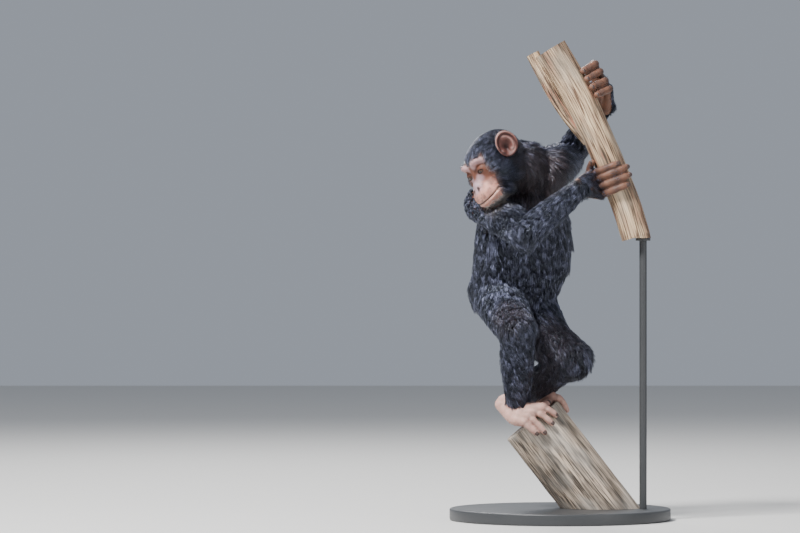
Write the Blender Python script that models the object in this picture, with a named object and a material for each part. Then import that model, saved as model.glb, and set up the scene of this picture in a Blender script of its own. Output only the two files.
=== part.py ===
"""A young chimpanzee standing on the sawn end of a branch, both hands on a bare trunk.

The animal is divided into head, ears, eyes, neck, trunk of the body, arms, hands, legs and feet.
Each of these is one closed solid, and each is seated on its neighbour with a thin gap.
Units are metres, +Z is up, and the animal faces the side towards -Y.
"""

import math

import bmesh
import bpy
import numpy as np
from mathutils import Vector
from mathutils.bvhtree import BVHTree

# Gap kept between two nodes that touch
GAP = 0.0003

# Display stand
BASE_RADIUS = 0.210
BASE_HEIGHT = 0.022
BASE_EDGE = 0.003
ROD_RADIUS = 0.007
ROD_X = 0.156
FLANGE_RADIUS = 0.014
FLANGE_HEIGHT = 0.005

# Bare trunk that the hands hold: its axis as height and x, its depth, its girth, and its side stem
TRUNK_AXIS = ((0.535, 0.143), (0.598, 0.1235), (0.668, 0.0955), (0.712, 0.0765),
              (0.759, 0.0545), (0.816, 0.0265), (0.892, -0.0200))
TRUNK_Y = -0.030
TRUNK_TOP_Z = 0.892
TRUNK_END_Z = 0.535
TRUNK_RADII = (0.0315, 0.0285, 0.0275)
SIDE_STEM = ((-0.0530, -0.021, 0.884), (-0.0330, -0.022, 0.845), (-0.0120, -0.023, 0.805),
             (0.0150, -0.026, 0.762), (0.0500, -0.030, 0.715))
SIDE_STEM_RADII = (0.0125, 0.0125, 0.0120, 0.0110, 0.0080)

# Sawn branch under the feet: centre of the cut face, its facing, and its radius
STUMP_FACE = np.array([-0.0532, 0.0, 0.189])
STUMP_FACING = np.array([-0.614, 0.0, 0.789])
STUMP_ACROSS = np.array([0.789, 0.0, 0.614])
STUMP_RADIUS = 0.0595

# The side towards the viewer, from which angles round both perches are counted
NEAR = np.array([0.0, -1.0, 0.0])

# Body axes: the way the chest faces, and the animal's own left
CHEST_FRONT = np.array([0.62, -0.785, 0.0])
CHEST_LEFT = np.array([0.785, 0.62, 0.0])

# Cross sections of the body: height, centre x and y, half width, half depth, all of the flesh
BODY_SECTIONS = (
    (0.376, -0.090, 0.064, 0.026, 0.026),
    (0.388, -0.090, 0.065, 0.052, 0.046),
    (0.412, -0.087, 0.065, 0.076, 0.064),
    (0.445, -0.081, 0.061, 0.089, 0.071),
    (0.485, -0.071, 0.052, 0.097, 0.073),
    (0.530, -0.068, 0.042, 0.098, 0.071),
    (0.575, -0.070, 0.033, 0.092, 0.067),
    (0.610, -0.072, 0.027, 0.080, 0.060),
    (0.637, -0.078, 0.021, 0.063, 0.049),
    (0.655, -0.083, 0.017, 0.043, 0.037),
)
PELVIS_TOP = 0.462
ABDOMEN_TOP = 0.548

# Joints of the limbs, right side and left side
SHOULDER = {"right": (-0.143, -0.033, 0.597), "left": (-0.027, 0.012, 0.664)}
ELBOW = {"right": (-0.072, -0.160, 0.539), "left": (0.023, 0.160, 0.6965)}
WRIST = {"right": (0.036, -0.088, 0.630), "left": (0.0855, 0.040, 0.790)}
HIP = {"right": (-0.120, 0.052, 0.430), "left": (-0.054, 0.085, 0.415)}
KNEE = {"right": (-0.084, -0.083, 0.362), "left": (0.021, -0.030, 0.307)}
ANKLE = {"right": (-0.082, -0.035, 0.225), "left": (-0.0513, 0.050, 0.2215)}

# How far the middle of a segment bows off the straight line between its joints
LEFT_THIGH_BOW = (-0.010, 0.0, -0.012)
LEFT_SHANK_BOW = (-0.007, 0.0, 0.009)

# Flesh radii along each limb segment, from its upper to its lower end
UPPER_ARM_RADII = (0.036, 0.031, 0.028, 0.025, 0.024)
FOREARM_RADII = (0.0225, 0.024, 0.022, 0.018, 0.0145)
THIGH_RADII = (0.042, 0.043, 0.040, 0.036, 0.030)
SHANK_RADII = (0.028, 0.029, 0.027, 0.0225, 0.0175)

# Close coat that the solids carry over the flesh, under the free locks
BODY_COAT = 0.008
LIMB_COAT = 0.005
LOWER_LIMB_COAT = 0.004
HEAD_COAT = 0.004

# Head: its origin between the ears, and its forward, left and up directions
HEAD_ORIGIN = np.array([-0.131, -0.075, 0.6850])
HEAD_FORWARD = np.array([-0.613, -0.554, -0.563])
HEAD_LEFT = np.array([0.463, -0.830, 0.312])
HEAD_UP = np.array([-0.640, -0.069, 0.766])
EYE_RADIUS = 0.0095
EYE_PLACE = (0.0465, 0.0195, -0.002)

# Forms of the head in its own frame: middle and half sizes, those beside the middle on both sides
SKULL = ((-0.006, 0.0, 0.001), (0.056, 0.0480, 0.0435))
CHEEK = ((0.026, 0.034, -0.014), (0.024, 0.0175, 0.017))
JAW_ANGLE = ((0.006, 0.029, -0.034), (0.028, 0.016, 0.024))
MUZZLE = ((0.048, 0.0, -0.040), (0.034, 0.0285, 0.025))
UPPER_LIP = ((0.0615, 0.0, -0.044), (0.0225, 0.0280, 0.0160))
CHIN = ((0.044, 0.0, -0.058), (0.035, 0.0260, 0.0130))
EYE_SOCKET = ((0.060, 0.0200, 0.0000), (0.013, 0.0115, 0.0105))
NOSE = ((0.052, 0.0, -0.021), (0.0125, 0.0115, 0.0080))
BROW_ENDS = ((0.0495, 0.0, 0.0185), (0.0445, 0.029, 0.0195))
BROW_GIRTH = 0.0085

# Mouth line: how far forward its middle and corners lie, its half width, height and rise
MOUTH_FRONT = 0.0855
MOUTH_CORNER_DEPTH = 0.034
MOUTH_HALF_WIDTH = 0.028
MOUTH_HEIGHT = -0.0510
MOUTH_CORNER_RISE = 0.004
MOUTH_OPENING = (0.0012, 0.0016, 0.0012)
MOUTH_CUT_DEPTH = 0.004
NOSTRIL_PATH = ((0.0680, 0.0055, -0.0275), (0.0565, 0.0040, -0.0215))
NOSTRIL_WIDTHS = (0.0022, 0.0018)
NOSTRIL_HEIGHTS = (0.0015, 0.0013)

# Eyelids: how far they lie off the eye, their girth, and how far up and down they open, in degrees
LID_CLEAR = 0.0008
LID_GIRTHS = (0.0013, 0.0019, 0.0013)
UPPER_LID_ANGLE = 24.0
LOWER_LID_ANGLE = -26.0
LID_SWEEP = 78.0

# Ears: middle and facing in the head's frame, half sizes, and the section from the hollow to the back
EAR_PLACE = (-0.0048, 0.0572, 0.0030)
EAR_FACING = (0.42, 0.80, 0.10)
EAR_HEIGHT = 0.0290
EAR_WIDTH = 0.0215
EAR_DEPTH = 0.0120
EAR_SECTION = ((0.30, -0.55), (0.62, -0.30), (0.86, 0.35), (0.97, 0.95), (1.06, 1.00),
               (1.06, 0.80), (0.94, 0.05), (0.66, -0.85), (0.42, -1.35))

# Neck: the points of its path below the head, the point inside the head, and its half sizes
NECK_PATH = ((-0.078, 0.024, 0.630), (-0.078, -0.004, 0.668))
NECK_IN_HEAD = (-0.018, 0.0, -0.014)
NECK_WIDTHS = (0.056, 0.049, 0.041)
NECK_DEPTHS = (0.050, 0.046, 0.040)

# Palms and soles: half widths and half thicknesses from the wrist or heel to the digits
PALM_WIDTHS = (0.0140, 0.0165, 0.0235, 0.0275)
PALM_THICKNESSES = (0.0130, 0.0125, 0.0115, 0.0090)
RIGHT_SOLE_WIDTHS = (0.0145, 0.0165, 0.0205, 0.0265)
RIGHT_SOLE_THICKNESSES = (0.0150, 0.0150, 0.0135, 0.0095)
LEFT_SOLE_WIDTHS = (0.0150, 0.0170, 0.0205, 0.0250)
LEFT_SOLE_THICKNESSES = (0.0155, 0.0150, 0.0130, 0.0095)
ANKLE_WIDTHS = (0.0150, 0.0155, 0.0150)
ANKLE_DEPTHS = (0.0155, 0.0160, 0.0150)

# Digits
FINGER_RADIUS = 0.0067
THUMB_RADIUS = 0.0065
TOE_RADIUS = 0.0062
HALLUX_RADIUS = 0.0082

SEED = 11


def unit(vector):
    """Return the vector at length one."""
    vector = np.asarray(vector, dtype=float)
    return vector / np.linalg.norm(vector)


def clear_scene():
    """Remove every object of the file."""
    for obj in list(bpy.data.objects):
        bpy.data.objects.remove(obj, do_unlink=True)


def material(name, color, roughness, metallic=0.0):
    """Make one Principled material."""
    mat = bpy.data.materials.new(name)
    mat.use_nodes = True
    shader = mat.node_tree.nodes["Principled BSDF"]
    shader.inputs["Base Color"].default_value = (*color, 1.0)
    shader.inputs["Roughness"].default_value = roughness
    shader.inputs["Metallic"].default_value = metallic
    mat.diffuse_color = (*color, 1.0)
    return mat


def mesh_object(name, verts, faces, mat=None):
    """Make an object from points and faces, facing outwards."""
    mesh = bpy.data.meshes.new(name)
    mesh.from_pydata([tuple(map(float, v)) for v in verts], [], [tuple(map(int, f)) for f in faces])
    bm = bmesh.new()
    bm.from_mesh(mesh)
    bmesh.ops.triangulate(bm, faces=bm.faces)
    bmesh.ops.recalc_face_normals(bm, faces=bm.faces)
    bm.to_mesh(mesh)
    bm.free()
    obj = bpy.data.objects.new(name, mesh)
    bpy.context.scene.collection.objects.link(obj)
    if mat:
        mesh.materials.append(mat)
    return obj


def ring(centre, across, along, half_width, half_depth, sides):
    """Return the points of one elliptical cross section."""
    angles = np.linspace(0.0, 2.0 * math.pi, sides, endpoint=False)
    width = np.outer(np.cos(angles) * half_width, across)
    depth = np.outer(np.sin(angles) * half_depth, along)
    return np.asarray(centre) + width + depth


def skin_rings(rings):
    """Return points and faces of a closed tube through equal rings, its ends closed by fans."""
    sides = len(rings[0])
    verts = [point for section in rings for point in section]
    faces = []
    for level in range(len(rings) - 1):
        low = level * sides
        high = low + sides
        for k in range(sides):
            nxt = (k + 1) % sides
            faces.append((low + k, low + nxt, high + nxt, high + k))
    for level, flip in ((0, True), (len(rings) - 1, False)):
        hub = len(verts)
        verts.append(np.mean(rings[level], axis=0))
        base = level * sides
        for k in range(sides):
            nxt = (k + 1) % sides
            pair = (base + nxt, base + k) if flip else (base + k, base + nxt)
            faces.append((*pair, hub))
    return verts, faces


def path_frames(points, flat_side):
    """Return at each point of a path its run and two directions square to it."""
    points = np.asarray(points, dtype=float)
    runs = np.gradient(points, axis=0)
    frames = []
    across = np.asarray(flat_side, dtype=float)
    for run in runs:
        run = unit(run)
        across = unit(across - run * np.dot(across, run))
        frames.append((run, across, np.cross(run, across)))
    return frames


def curve_point(points, place):
    """Return the point of a smooth curve through a few points, its place counted in those points."""
    padded = np.vstack([2 * points[0] - points[1], points, 2 * points[-1] - points[-2]])
    start = min(int(place), len(points) - 2)
    t = place - start
    a, b, c, d = padded[start:start + 4]
    return 0.5 * (2 * b + (c - a) * t + (2 * a - 5 * b + 4 * c - d) * t ** 2
                  + (3 * b - a - 3 * c + d) * t ** 3)


def smooth_path(points, count):
    """Read a smooth curve through a few points at evenly spaced places."""
    points = np.asarray(points, dtype=float)
    return np.array([curve_point(points, place) for place in np.linspace(0, len(points) - 1, count)])


def rounded_tube(name, path, widths, depths, flat_side, sides, mat=None, count=7, caps=(0.55, 0.92)):
    """Make a closed tube along a path, with both ends rounded off through one or two smaller rings."""
    centres = smooth_path(path, count)
    places = np.linspace(0, 1, count)
    known = np.linspace(0, 1, len(widths))
    widths = np.interp(places, known, widths)
    depths = np.interp(places, known, depths)
    frames = path_frames(centres, flat_side)
    rings = [ring(c, f[1], f[2], w, d, sides) for c, f, w, d in zip(centres, frames, widths, depths)]
    for end, outward in ((0, -1.0), (count - 1, 1.0)):
        run, across, along = frames[end]
        reach = min(widths[end], depths[end])
        for lift in caps:
            shrink = math.sqrt(1.0 - lift ** 2)
            centre = centres[end] + run * outward * reach * lift
            cap = ring(centre, across, along, widths[end] * shrink, depths[end] * shrink, sides)
            rings.insert(0 if end == 0 else len(rings), cap)
    verts, faces = skin_rings(rings)
    return mesh_object(name, verts, faces, mat)


# Shape of each node before it was cut and given fine forms, for cutting its neighbours
plain_shapes = {}


def inflated_copy(source, amount):
    """Copy an object's mesh with every point moved outwards along its normal."""
    shape = plain_shapes.get(source.name, source.data)
    copy = bpy.data.objects.new(source.name + ".cutter", shape.copy())
    bpy.context.scene.collection.objects.link(copy)
    bm = bmesh.new()
    bm.from_mesh(copy.data)
    bm.normal_update()
    normals = [vert.normal.copy() for vert in bm.verts]
    for vert, normal in zip(bm.verts, normals):
        vert.co += normal * amount * min(vert.calc_shell_factor(), 1.6)
    bm.to_mesh(copy.data)
    bm.free()
    return copy


def sound_volume(mesh):
    """Return the volume of a mesh, or nothing where it has an open edge."""
    bm = bmesh.new()
    bm.from_mesh(mesh)
    closed = all(edge.is_manifold for edge in bm.edges)
    volume = bm.calc_volume(signed=True) if closed and bm.faces else 0.0
    bm.free()
    return volume


def apply_boolean(target, others, operation):
    """Join or cut a target with a group of closed meshes, then remove the group."""
    group = bpy.data.collections.new("boolean_group")
    bpy.context.scene.collection.children.link(group)
    for other in others:
        bpy.context.scene.collection.objects.unlink(other)
        group.objects.link(other)
    modifier = target.modifiers.new("boolean", "BOOLEAN")
    modifier.operation = operation
    modifier.operand_type = "COLLECTION"
    modifier.collection = group
    modifier.use_self = True
    least = 0.4 * sound_volume(target.data)
    for solver in ("EXACT", "MANIFOLD"):
        modifier.solver = solver
        depsgraph = bpy.context.evaluated_depsgraph_get()
        result = bpy.data.meshes.new_from_object(target.evaluated_get(depsgraph))
        if sound_volume(result) > least:
            break
    target.modifiers.clear()
    old = target.data
    target.data = result
    result.name = target.name
    bpy.data.meshes.remove(old)
    for other in list(group.objects):
        bpy.data.objects.remove(other, do_unlink=True)
    bpy.data.collections.remove(group)


def keep_largest(obj):
    """Keep only the largest connected surface of an object."""
    bm = bmesh.new()
    bm.from_mesh(obj.data)
    unseen = set(bm.faces)
    islands = []
    while unseen:
        stack = [unseen.pop()]
        island = [stack[0]]
        while stack:
            face = stack.pop()
            for edge in face.edges:
                for other in edge.link_faces:
                    if other in unseen:
                        unseen.remove(other)
                        stack.append(other)
                        island.append(other)
        islands.append(island)
    islands.sort(key=lambda faces: sum(f.calc_area() for f in faces), reverse=True)
    scraps = [face for island in islands[1:] for face in island]
    bmesh.ops.delete(bm, geom=scraps, context="FACES")
    bm.to_mesh(obj.data)
    bm.free()


def surface_tree(obj):
    """Return a search tree of an object's surface."""
    verts = [vert.co for vert in obj.data.vertices]
    return BVHTree.FromPolygons(verts, [face.vertices for face in obj.data.polygons])


def seat(obj, neighbours):
    """Cut an object back so that it meets each neighbour with a thin gap."""
    for other in neighbours:
        cutter = inflated_copy(other, GAP)
        if surface_tree(obj).overlap(surface_tree(cutter)):
            apply_boolean(obj, [cutter], "DIFFERENCE")
            keep_largest(obj)
        else:
            bpy.data.objects.remove(cutter, do_unlink=True)


def fuse(obj, pieces):
    """Join pieces to an object as one closed solid."""
    apply_boolean(obj, pieces, "UNION")
    keep_largest(obj)


# Stand and perches


def cylinder(name, low, high, radii, sides, mat):
    """Make an upright round solid through several radii, each at its share of the height."""
    rings = []
    for share, radius in radii:
        centre = (low[0], low[1], low[2] + share * (high - low[2]))
        rings.append(ring(centre, (1, 0, 0), (0, 1, 0), radius, radius, sides))
    verts, faces = skin_rings(rings)
    return mesh_object(name, verts, faces, mat)


def build_base(mat):
    """Make the round foot of the stand, its top edge eased."""
    edge = BASE_EDGE
    top = BASE_HEIGHT
    levels = ((0.0, BASE_RADIUS), (1.0 - edge / top, BASE_RADIUS), (1.0, BASE_RADIUS - edge))
    return cylinder("stand_base", (0.0, 0.0, 0.0), top, levels, 48, mat)


def trunk_axis(height):
    """Return the point of the bare trunk's axis at a height."""
    table = np.array(TRUNK_AXIS)
    heights = table[:, 0]
    place = np.interp(height, heights, np.arange(len(table)))
    points = np.column_stack([table[:, 1], np.full(len(table), TRUNK_Y), heights])
    return curve_point(points, place)


def trunk_run(height):
    """Return the bare trunk's downward direction and the direction across it, away to the right."""
    run = unit(trunk_axis(height - 0.01) - trunk_axis(height + 0.01))
    return run, np.array([-run[2], 0.0, run[0]])


def trunk_radius(height):
    """Return the bare trunk's radius at a height."""
    share = (TRUNK_TOP_Z - height) / (TRUNK_TOP_Z - TRUNK_END_Z)
    return float(np.interp(share, (0.0, 0.5, 1.0), TRUNK_RADII))


def build_rod(mat):
    """Make the upright rod with the small plate that carries the trunk's cut end."""
    low = BASE_HEIGHT + GAP
    high = TRUNK_END_Z - GAP
    plate = 1.0 - FLANGE_HEIGHT / (high - low)
    levels = ((0.0, ROD_RADIUS), (plate - 0.004, ROD_RADIUS), (plate, FLANGE_RADIUS), (1.0, FLANGE_RADIUS))
    return cylinder("stand_rod", (ROD_X, TRUNK_Y, low), high, levels, 16, mat)


def build_trunk(mat):
    """Make the short length of bare trunk, cut level below and square above, with its side stem."""
    sides = 20
    angles = np.linspace(0.0, 2.0 * math.pi, sides, endpoint=False)
    heights = np.linspace(TRUNK_TOP_Z, TRUNK_END_Z, 9)
    rings = []
    for height in heights:
        share = (TRUNK_TOP_Z - height) / (TRUNK_TOP_Z - TRUNK_END_Z)
        run, across = trunk_run(height)
        centre = trunk_axis(height)
        radius = trunk_radius(height)
        section = ring(centre, across, NEAR, radius, radius, sides)
        swell = 1.0 + 0.018 * np.sin(3 * angles + 2.0 * share) + 0.012 * np.sin(5 * angles + 5.0 * share)
        section = centre + (section - centre) * swell[:, None]
        if height == heights[-1]:
            slide = (TRUNK_END_Z - section[:, 2]) / run[2]
            section = section + np.outer(slide, run)
        rings.append(section)
    verts, faces = skin_rings(rings)
    trunk = mesh_object("perch_trunk", verts, faces, mat)
    stem = rounded_tube("side_stem", SIDE_STEM, SIDE_STEM_RADII, SIDE_STEM_RADII, NEAR, 9, count=5,
                        caps=(0.75,))
    fuse(trunk, [stem])
    return trunk


def build_stump(mat):
    """Make the sawn branch from its cut face down to the base."""
    sides = 32
    angles = np.linspace(0.0, 2.0 * math.pi, sides, endpoint=False)
    swell = 1.0 + 0.016 * np.sin(2 * angles + 0.6) + 0.012 * np.sin(5 * angles)
    run = -STUMP_FACING
    foot = BASE_HEIGHT + GAP
    face = ring((0, 0, 0), STUMP_ACROSS, NEAR, STUMP_RADIUS, STUMP_RADIUS, sides) * swell[:, None]
    rings = []
    for share in (0.0, 0.02, 0.25, 0.5, 0.75, 1.0):
        girth = 0.975 if share == 0.0 else 1.0
        section = STUMP_FACE + face * girth
        lowest = (foot - section[:, 2]) / run[2]
        rings.append(section + np.outer(lowest * share, run))
    verts, faces = skin_rings(rings)
    return mesh_object("perch_stump", verts, faces, mat)


# Body


def body_section(height):
    """Return centre, half width and half depth of the flesh at a height."""
    table = np.array(BODY_SECTIONS)
    values = [np.interp(height, table[:, 0], table[:, k]) for k in range(1, 5)]
    return np.array([values[0], values[1], height]), values[2], values[3]


def build_body_part(name, low, high, levels, mat):
    """Make one length of the body between two level cuts, or rounded off past its end."""
    bottom, top = BODY_SECTIONS[0][0], BODY_SECTIONS[-1][0]
    rings = []
    for height in np.linspace(max(low, bottom), min(high, top), levels):
        centre, half_width, half_depth = body_section(height)
        rings.append(ring(centre, CHEST_LEFT, CHEST_FRONT, half_width + BODY_COAT,
                          half_depth + BODY_COAT, 20))
    if low < bottom:
        centre = rings[0].mean(axis=0)
        rings.insert(0, centre + (rings[0] - centre) * 0.6 - (0, 0, BODY_COAT))
    if high > top:
        centre = rings[-1].mean(axis=0)
        rings.append(centre + (rings[-1] - centre) * 0.6 + (0, 0, BODY_COAT))
    verts, faces = skin_rings(rings)
    return mesh_object(name, verts, faces, mat)


def build_segment(name, start, end, radii, coat, mat, sides=12, bow=(0, 0, 0)):
    """Make one limb segment from joint to joint, rounded at both ends."""
    start, end = np.array(start), np.array(end)
    middle = (start + end) / 2 + np.array(bow)
    sizes = np.array(radii) + coat
    side = np.cross(unit(end - start), NEAR)
    return rounded_tube(name, [start, middle, end], sizes, sizes, side, sides, mat, count=7)


# Head


def head_to_world(points):
    """Carry points given as forward, left and up of the head into the world."""
    points = np.atleast_2d(np.asarray(points, dtype=float))
    axes = np.array([unit(HEAD_FORWARD), unit(HEAD_LEFT), unit(HEAD_UP)])
    return HEAD_ORIGIN + points @ axes


def ellipsoid_distance(points, centre, radii):
    """Return a distance-like value from points to an ellipsoid."""
    offset = points - np.array(centre)
    radii = np.array(radii)
    scaled = np.linalg.norm(offset / radii, axis=1)
    steep = np.linalg.norm(offset / radii ** 2, axis=1) + 1e-12
    return scaled * (scaled - 1.0) / steep


def capsule_distance(points, start, end, radius):
    """Return the distance from points to a rod with round ends."""
    start, end = np.array(start), np.array(end)
    run = end - start
    share = np.clip((points - start) @ run / np.dot(run, run), 0.0, 1.0)
    return np.linalg.norm(points - start - np.outer(share, run), axis=1) - radius


def blend(first, second, width):
    """Join two distances with a smooth fillet of the given width."""
    mix = np.clip(0.5 + 0.5 * (second - first) / width, 0.0, 1.0)
    return second * (1 - mix) + first * mix - width * mix * (1 - mix)


def carve(first, second, width):
    """Take a second shape out of the first with a smooth edge."""
    return -blend(-first, second, width)


def head_distance(points):
    """Return the distance from points of the head frame to the head's skin."""
    sides = points * (1, 0, 1) + np.abs(points) * (0, 1, 0)
    shape = ellipsoid_distance(points, *SKULL)
    shape = blend(shape, ellipsoid_distance(sides, *CHEEK), 0.012)
    shape = blend(shape, ellipsoid_distance(sides, *JAW_ANGLE), 0.014)
    shape = blend(shape, ellipsoid_distance(points, *MUZZLE), 0.012)
    shape = blend(shape, ellipsoid_distance(points, *UPPER_LIP), 0.008)
    shape = blend(shape, ellipsoid_distance(points, *CHIN), 0.009)
    shape = blend(shape, capsule_distance(sides, *BROW_ENDS, BROW_GIRTH), 0.007)
    shape = carve(shape, ellipsoid_distance(sides, *EYE_SOCKET), 0.006)
    return blend(shape, ellipsoid_distance(points, *NOSE), 0.006)


def fur_share(points):
    """Return how far each point of the head carries fur, from bare face to furred crown."""
    behind = np.clip((0.050 - points[:, 0] + 0.35 * (points[:, 2] - 0.015)) / 0.030, 0.0, 1.0)
    muzzle = np.clip((0.020 - points[:, 0]) / 0.020, 0.0, 1.0)
    low = np.clip((0.004 - points[:, 2]) / 0.014, 0.0, 1.0)
    return behind * (1.0 - low) + muzzle * low


def head_radius(directions, origin):
    """Find how far the head's surface lies from an inner point along each direction."""
    near = np.zeros(len(directions))
    far = np.full(len(directions), 0.130)
    for _ in range(26):
        middle = (near + far) / 2
        points = origin + directions * middle[:, None]
        outside = head_distance(points) - HEAD_COAT * fur_share(points) > 0
        far = np.where(outside, middle, far)
        near = np.where(outside, near, middle)
    return near


def lid(side, upper):
    """Make one eyelid as a bent rod over the eye's edge."""
    centre = np.array([EYE_PLACE[0], side * EYE_PLACE[1], EYE_PLACE[2]])
    reach = EYE_RADIUS + LID_CLEAR
    points = []
    for angle in np.linspace(-LID_SWEEP, LID_SWEEP, 5):
        sweep = math.radians(angle)
        rise = math.radians(UPPER_LID_ANGLE if upper else LOWER_LID_ANGLE) * math.cos(sweep)
        forward = math.cos(sweep) * math.cos(rise)
        points.append(centre + reach * np.array([forward, math.sin(sweep), math.sin(rise)]))
    return rounded_tube("lid", head_to_world(points), LID_GIRTHS, LID_GIRTHS, HEAD_UP, 5, count=6,
                        caps=(0.75,))


def build_eye(name, side, mat):
    """Make one eyeball."""
    bm = bmesh.new()
    bmesh.ops.create_icosphere(bm, subdivisions=2, radius=EYE_RADIUS)
    centre = head_to_world((EYE_PLACE[0], side * EYE_PLACE[1], EYE_PLACE[2]))[0]
    bmesh.ops.translate(bm, verts=bm.verts, vec=Vector(centre))
    mesh = bpy.data.meshes.new(name)
    bm.to_mesh(mesh)
    bm.free()
    obj = bpy.data.objects.new(name, mesh)
    bpy.context.scene.collection.objects.link(obj)
    mesh.materials.append(mat)
    return obj


def head_directions(around, rows):
    """Return directions from inside the head, rows of them closing in on the muzzle."""
    tilt = unit(np.array([1.0, 0.0, -0.55]))
    side_axis = np.array([0.0, 1.0, 0.0])
    up_axis = np.cross(tilt, side_axis)
    directions = [tilt]
    for row in range(1, rows):
        polar = math.pi * (row / rows) ** 1.25
        for k in range(around):
            turn = 2 * math.pi * k / around
            directions.append(tilt * math.cos(polar)
                              + math.sin(polar) * (side_axis * math.cos(turn) + up_axis * math.sin(turn)))
    directions.append(-tilt)
    return np.array(directions)


def mouth_and_nostrils():
    """Make the pieces that cut the line of the mouth and the two nostrils."""
    mouth = []
    for share in np.linspace(-1, 1, 9):
        forward = MOUTH_FRONT - MOUTH_CORNER_DEPTH * abs(share) ** 2.2
        aside = MOUTH_HALF_WIDTH * math.sin(share * math.pi / 2)
        mouth.append((forward, aside, MOUTH_HEIGHT + MOUTH_CORNER_RISE * share ** 2))
    depths = (MOUTH_CUT_DEPTH,) * 3
    cutters = [rounded_tube("mouth", head_to_world(mouth), depths, MOUTH_OPENING, HEAD_FORWARD, 6, count=11)]
    for side in (-1, 1):
        path = head_to_world(np.array(NOSTRIL_PATH) * (1, side, 1))
        cutters.append(rounded_tube("nostril", path, NOSTRIL_WIDTHS, NOSTRIL_HEIGHTS, HEAD_LEFT, 8, count=3))
    return cutters


def build_head(mat, eyes):
    """Make the head with brows, lids, nostrils, lips and the line of the mouth."""
    around, rows = 34, 23
    origin = np.array([0.012, 0.0, -0.010])
    directions = head_directions(around, rows)
    radii = head_radius(directions, origin)
    verts = head_to_world(origin + directions * radii[:, None])
    faces = [(0, 1 + k, 1 + (k + 1) % around) for k in range(around)]
    for row in range(rows - 2):
        low = 1 + row * around
        for k in range(around):
            nxt = (k + 1) % around
            faces.append((low + k, low + nxt, low + around + nxt, low + around + k))
    last = 1 + (rows - 2) * around
    faces += [(last + k, last + (k + 1) % around, len(verts) - 1) for k in range(around)]
    head = mesh_object("head", verts, faces, mat)
    plain_shapes["head"] = head.data.copy()
    fuse(head, [lid(side, upper) for side in (-1, 1) for upper in (True, False)])
    cutters = [inflated_copy(eye, GAP) for eye in eyes] + mouth_and_nostrils()
    apply_boolean(head, cutters, "DIFFERENCE")
    keep_largest(head)
    return head


def build_ear(name, side, mat):
    """Make one ear as a cupped shell with a thick rim."""
    centre = np.array(EAR_PLACE) * (1, side, 1)
    out = unit(np.array(EAR_FACING) * (1, side, 1))
    back = unit(np.cross(np.array([0.0, 0.0, 1.0]), out) * side)
    tall = unit(np.cross(out, back) * side)
    sides = 16
    rings = []
    angles = np.linspace(0, 2 * math.pi, sides, endpoint=False)
    open_front = 1.0 - 0.30 * np.clip(np.cos(angles), 0, 1) ** 2
    for reach, lift in EAR_SECTION:
        tall_part = np.sin(angles) * EAR_HEIGHT * reach * (1 + 0.10 * np.sin(angles))
        wide_part = -np.cos(angles) * EAR_WIDTH * reach
        rise = EAR_DEPTH * lift * (open_front if lift > 0 else np.ones(sides))
        points = centre + np.outer(tall_part, tall) + np.outer(wide_part, back) + np.outer(rise, out)
        rings.append(head_to_world(points))
    verts, faces = skin_rings(rings)
    return mesh_object(name, verts, faces, mat)


# Hands and feet


def trunk_place(angle, reach, height):
    """Return a point round the bare trunk: angle from the near side, distance off its axis, height."""
    turn = math.radians(angle)
    across = trunk_run(height)[1]
    return trunk_axis(height) + reach * (math.cos(turn) * NEAR + math.sin(turn) * across)


def stump_place(angle, reach, depth):
    """Return a point round the sawn branch: angle towards the near side, reach, depth below its face."""
    turn = math.radians(angle)
    return STUMP_FACE + reach * (math.cos(turn) * STUMP_ACROSS + math.sin(turn) * NEAR) - STUMP_FACING * depth


def digit(points, radius, count=6):
    """Make one finger or toe, a little thinner towards its tip."""
    sizes = np.array((1.12, 1.0, 0.94, 0.98, 0.80)) * radius
    return rounded_tube("digit", points, sizes, sizes, NEAR + STUMP_ACROSS, 7, count=count, caps=(0.75,))


# Fingers: height of each along the trunk, and the angle at which its tip ends
RIGHT_FINGERS = ((0.670, 20.0), (0.6577, 47.0), (0.6430, 43.0), (0.6290, 24.0))
LEFT_FINGERS = ((0.836, 52.0), (0.8215, 50.0), (0.8070, 52.0), (0.7935, 58.0))


def build_palm(name, wrist, knuckles, run, mat):
    """Make a palm from the wrist to the row of knuckles, flat along the trunk's run."""
    path = [wrist - 0.22 * (knuckles - wrist), (wrist + knuckles) / 2, knuckles]
    return rounded_tube(name, path, PALM_WIDTHS, PALM_THICKNESSES, run, 12, mat, count=5)


def build_right_hand(mat):
    """Make the right hand, whose fingers cross the near side of the trunk."""
    wrist = np.array(WRIST["right"])
    rows = [trunk_place(-74, trunk_radius(z) + 0.012, z) for z, _ in RIGHT_FINGERS]
    knuckles = np.mean(rows, axis=0)
    palm = build_palm("hand_right", wrist, knuckles, trunk_run(0.650)[0], mat)
    pieces = []
    for (height, end), row in zip(RIGHT_FINGERS, rows):
        reach = trunk_radius(height) + FINGER_RADIUS + 0.0004
        path = [knuckles + 0.85 * (row - knuckles)]
        path += [trunk_place(angle, reach + 0.001, height) for angle in np.linspace(-56, end, 5)]
        pieces.append(digit(path, FINGER_RADIUS, 7))
    reach = trunk_radius(0.680) + THUMB_RADIUS
    thumb = [wrist + 0.55 * (knuckles - wrist) - trunk_run(0.650)[0] * 0.012,
             trunk_place(-84, reach + 0.010, 0.6725), trunk_place(-70, reach + 0.002, 0.684),
             trunk_place(-58, reach, 0.688)]
    pieces.append(digit(thumb, THUMB_RADIUS, 5))
    fuse(palm, pieces)
    return palm


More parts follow.
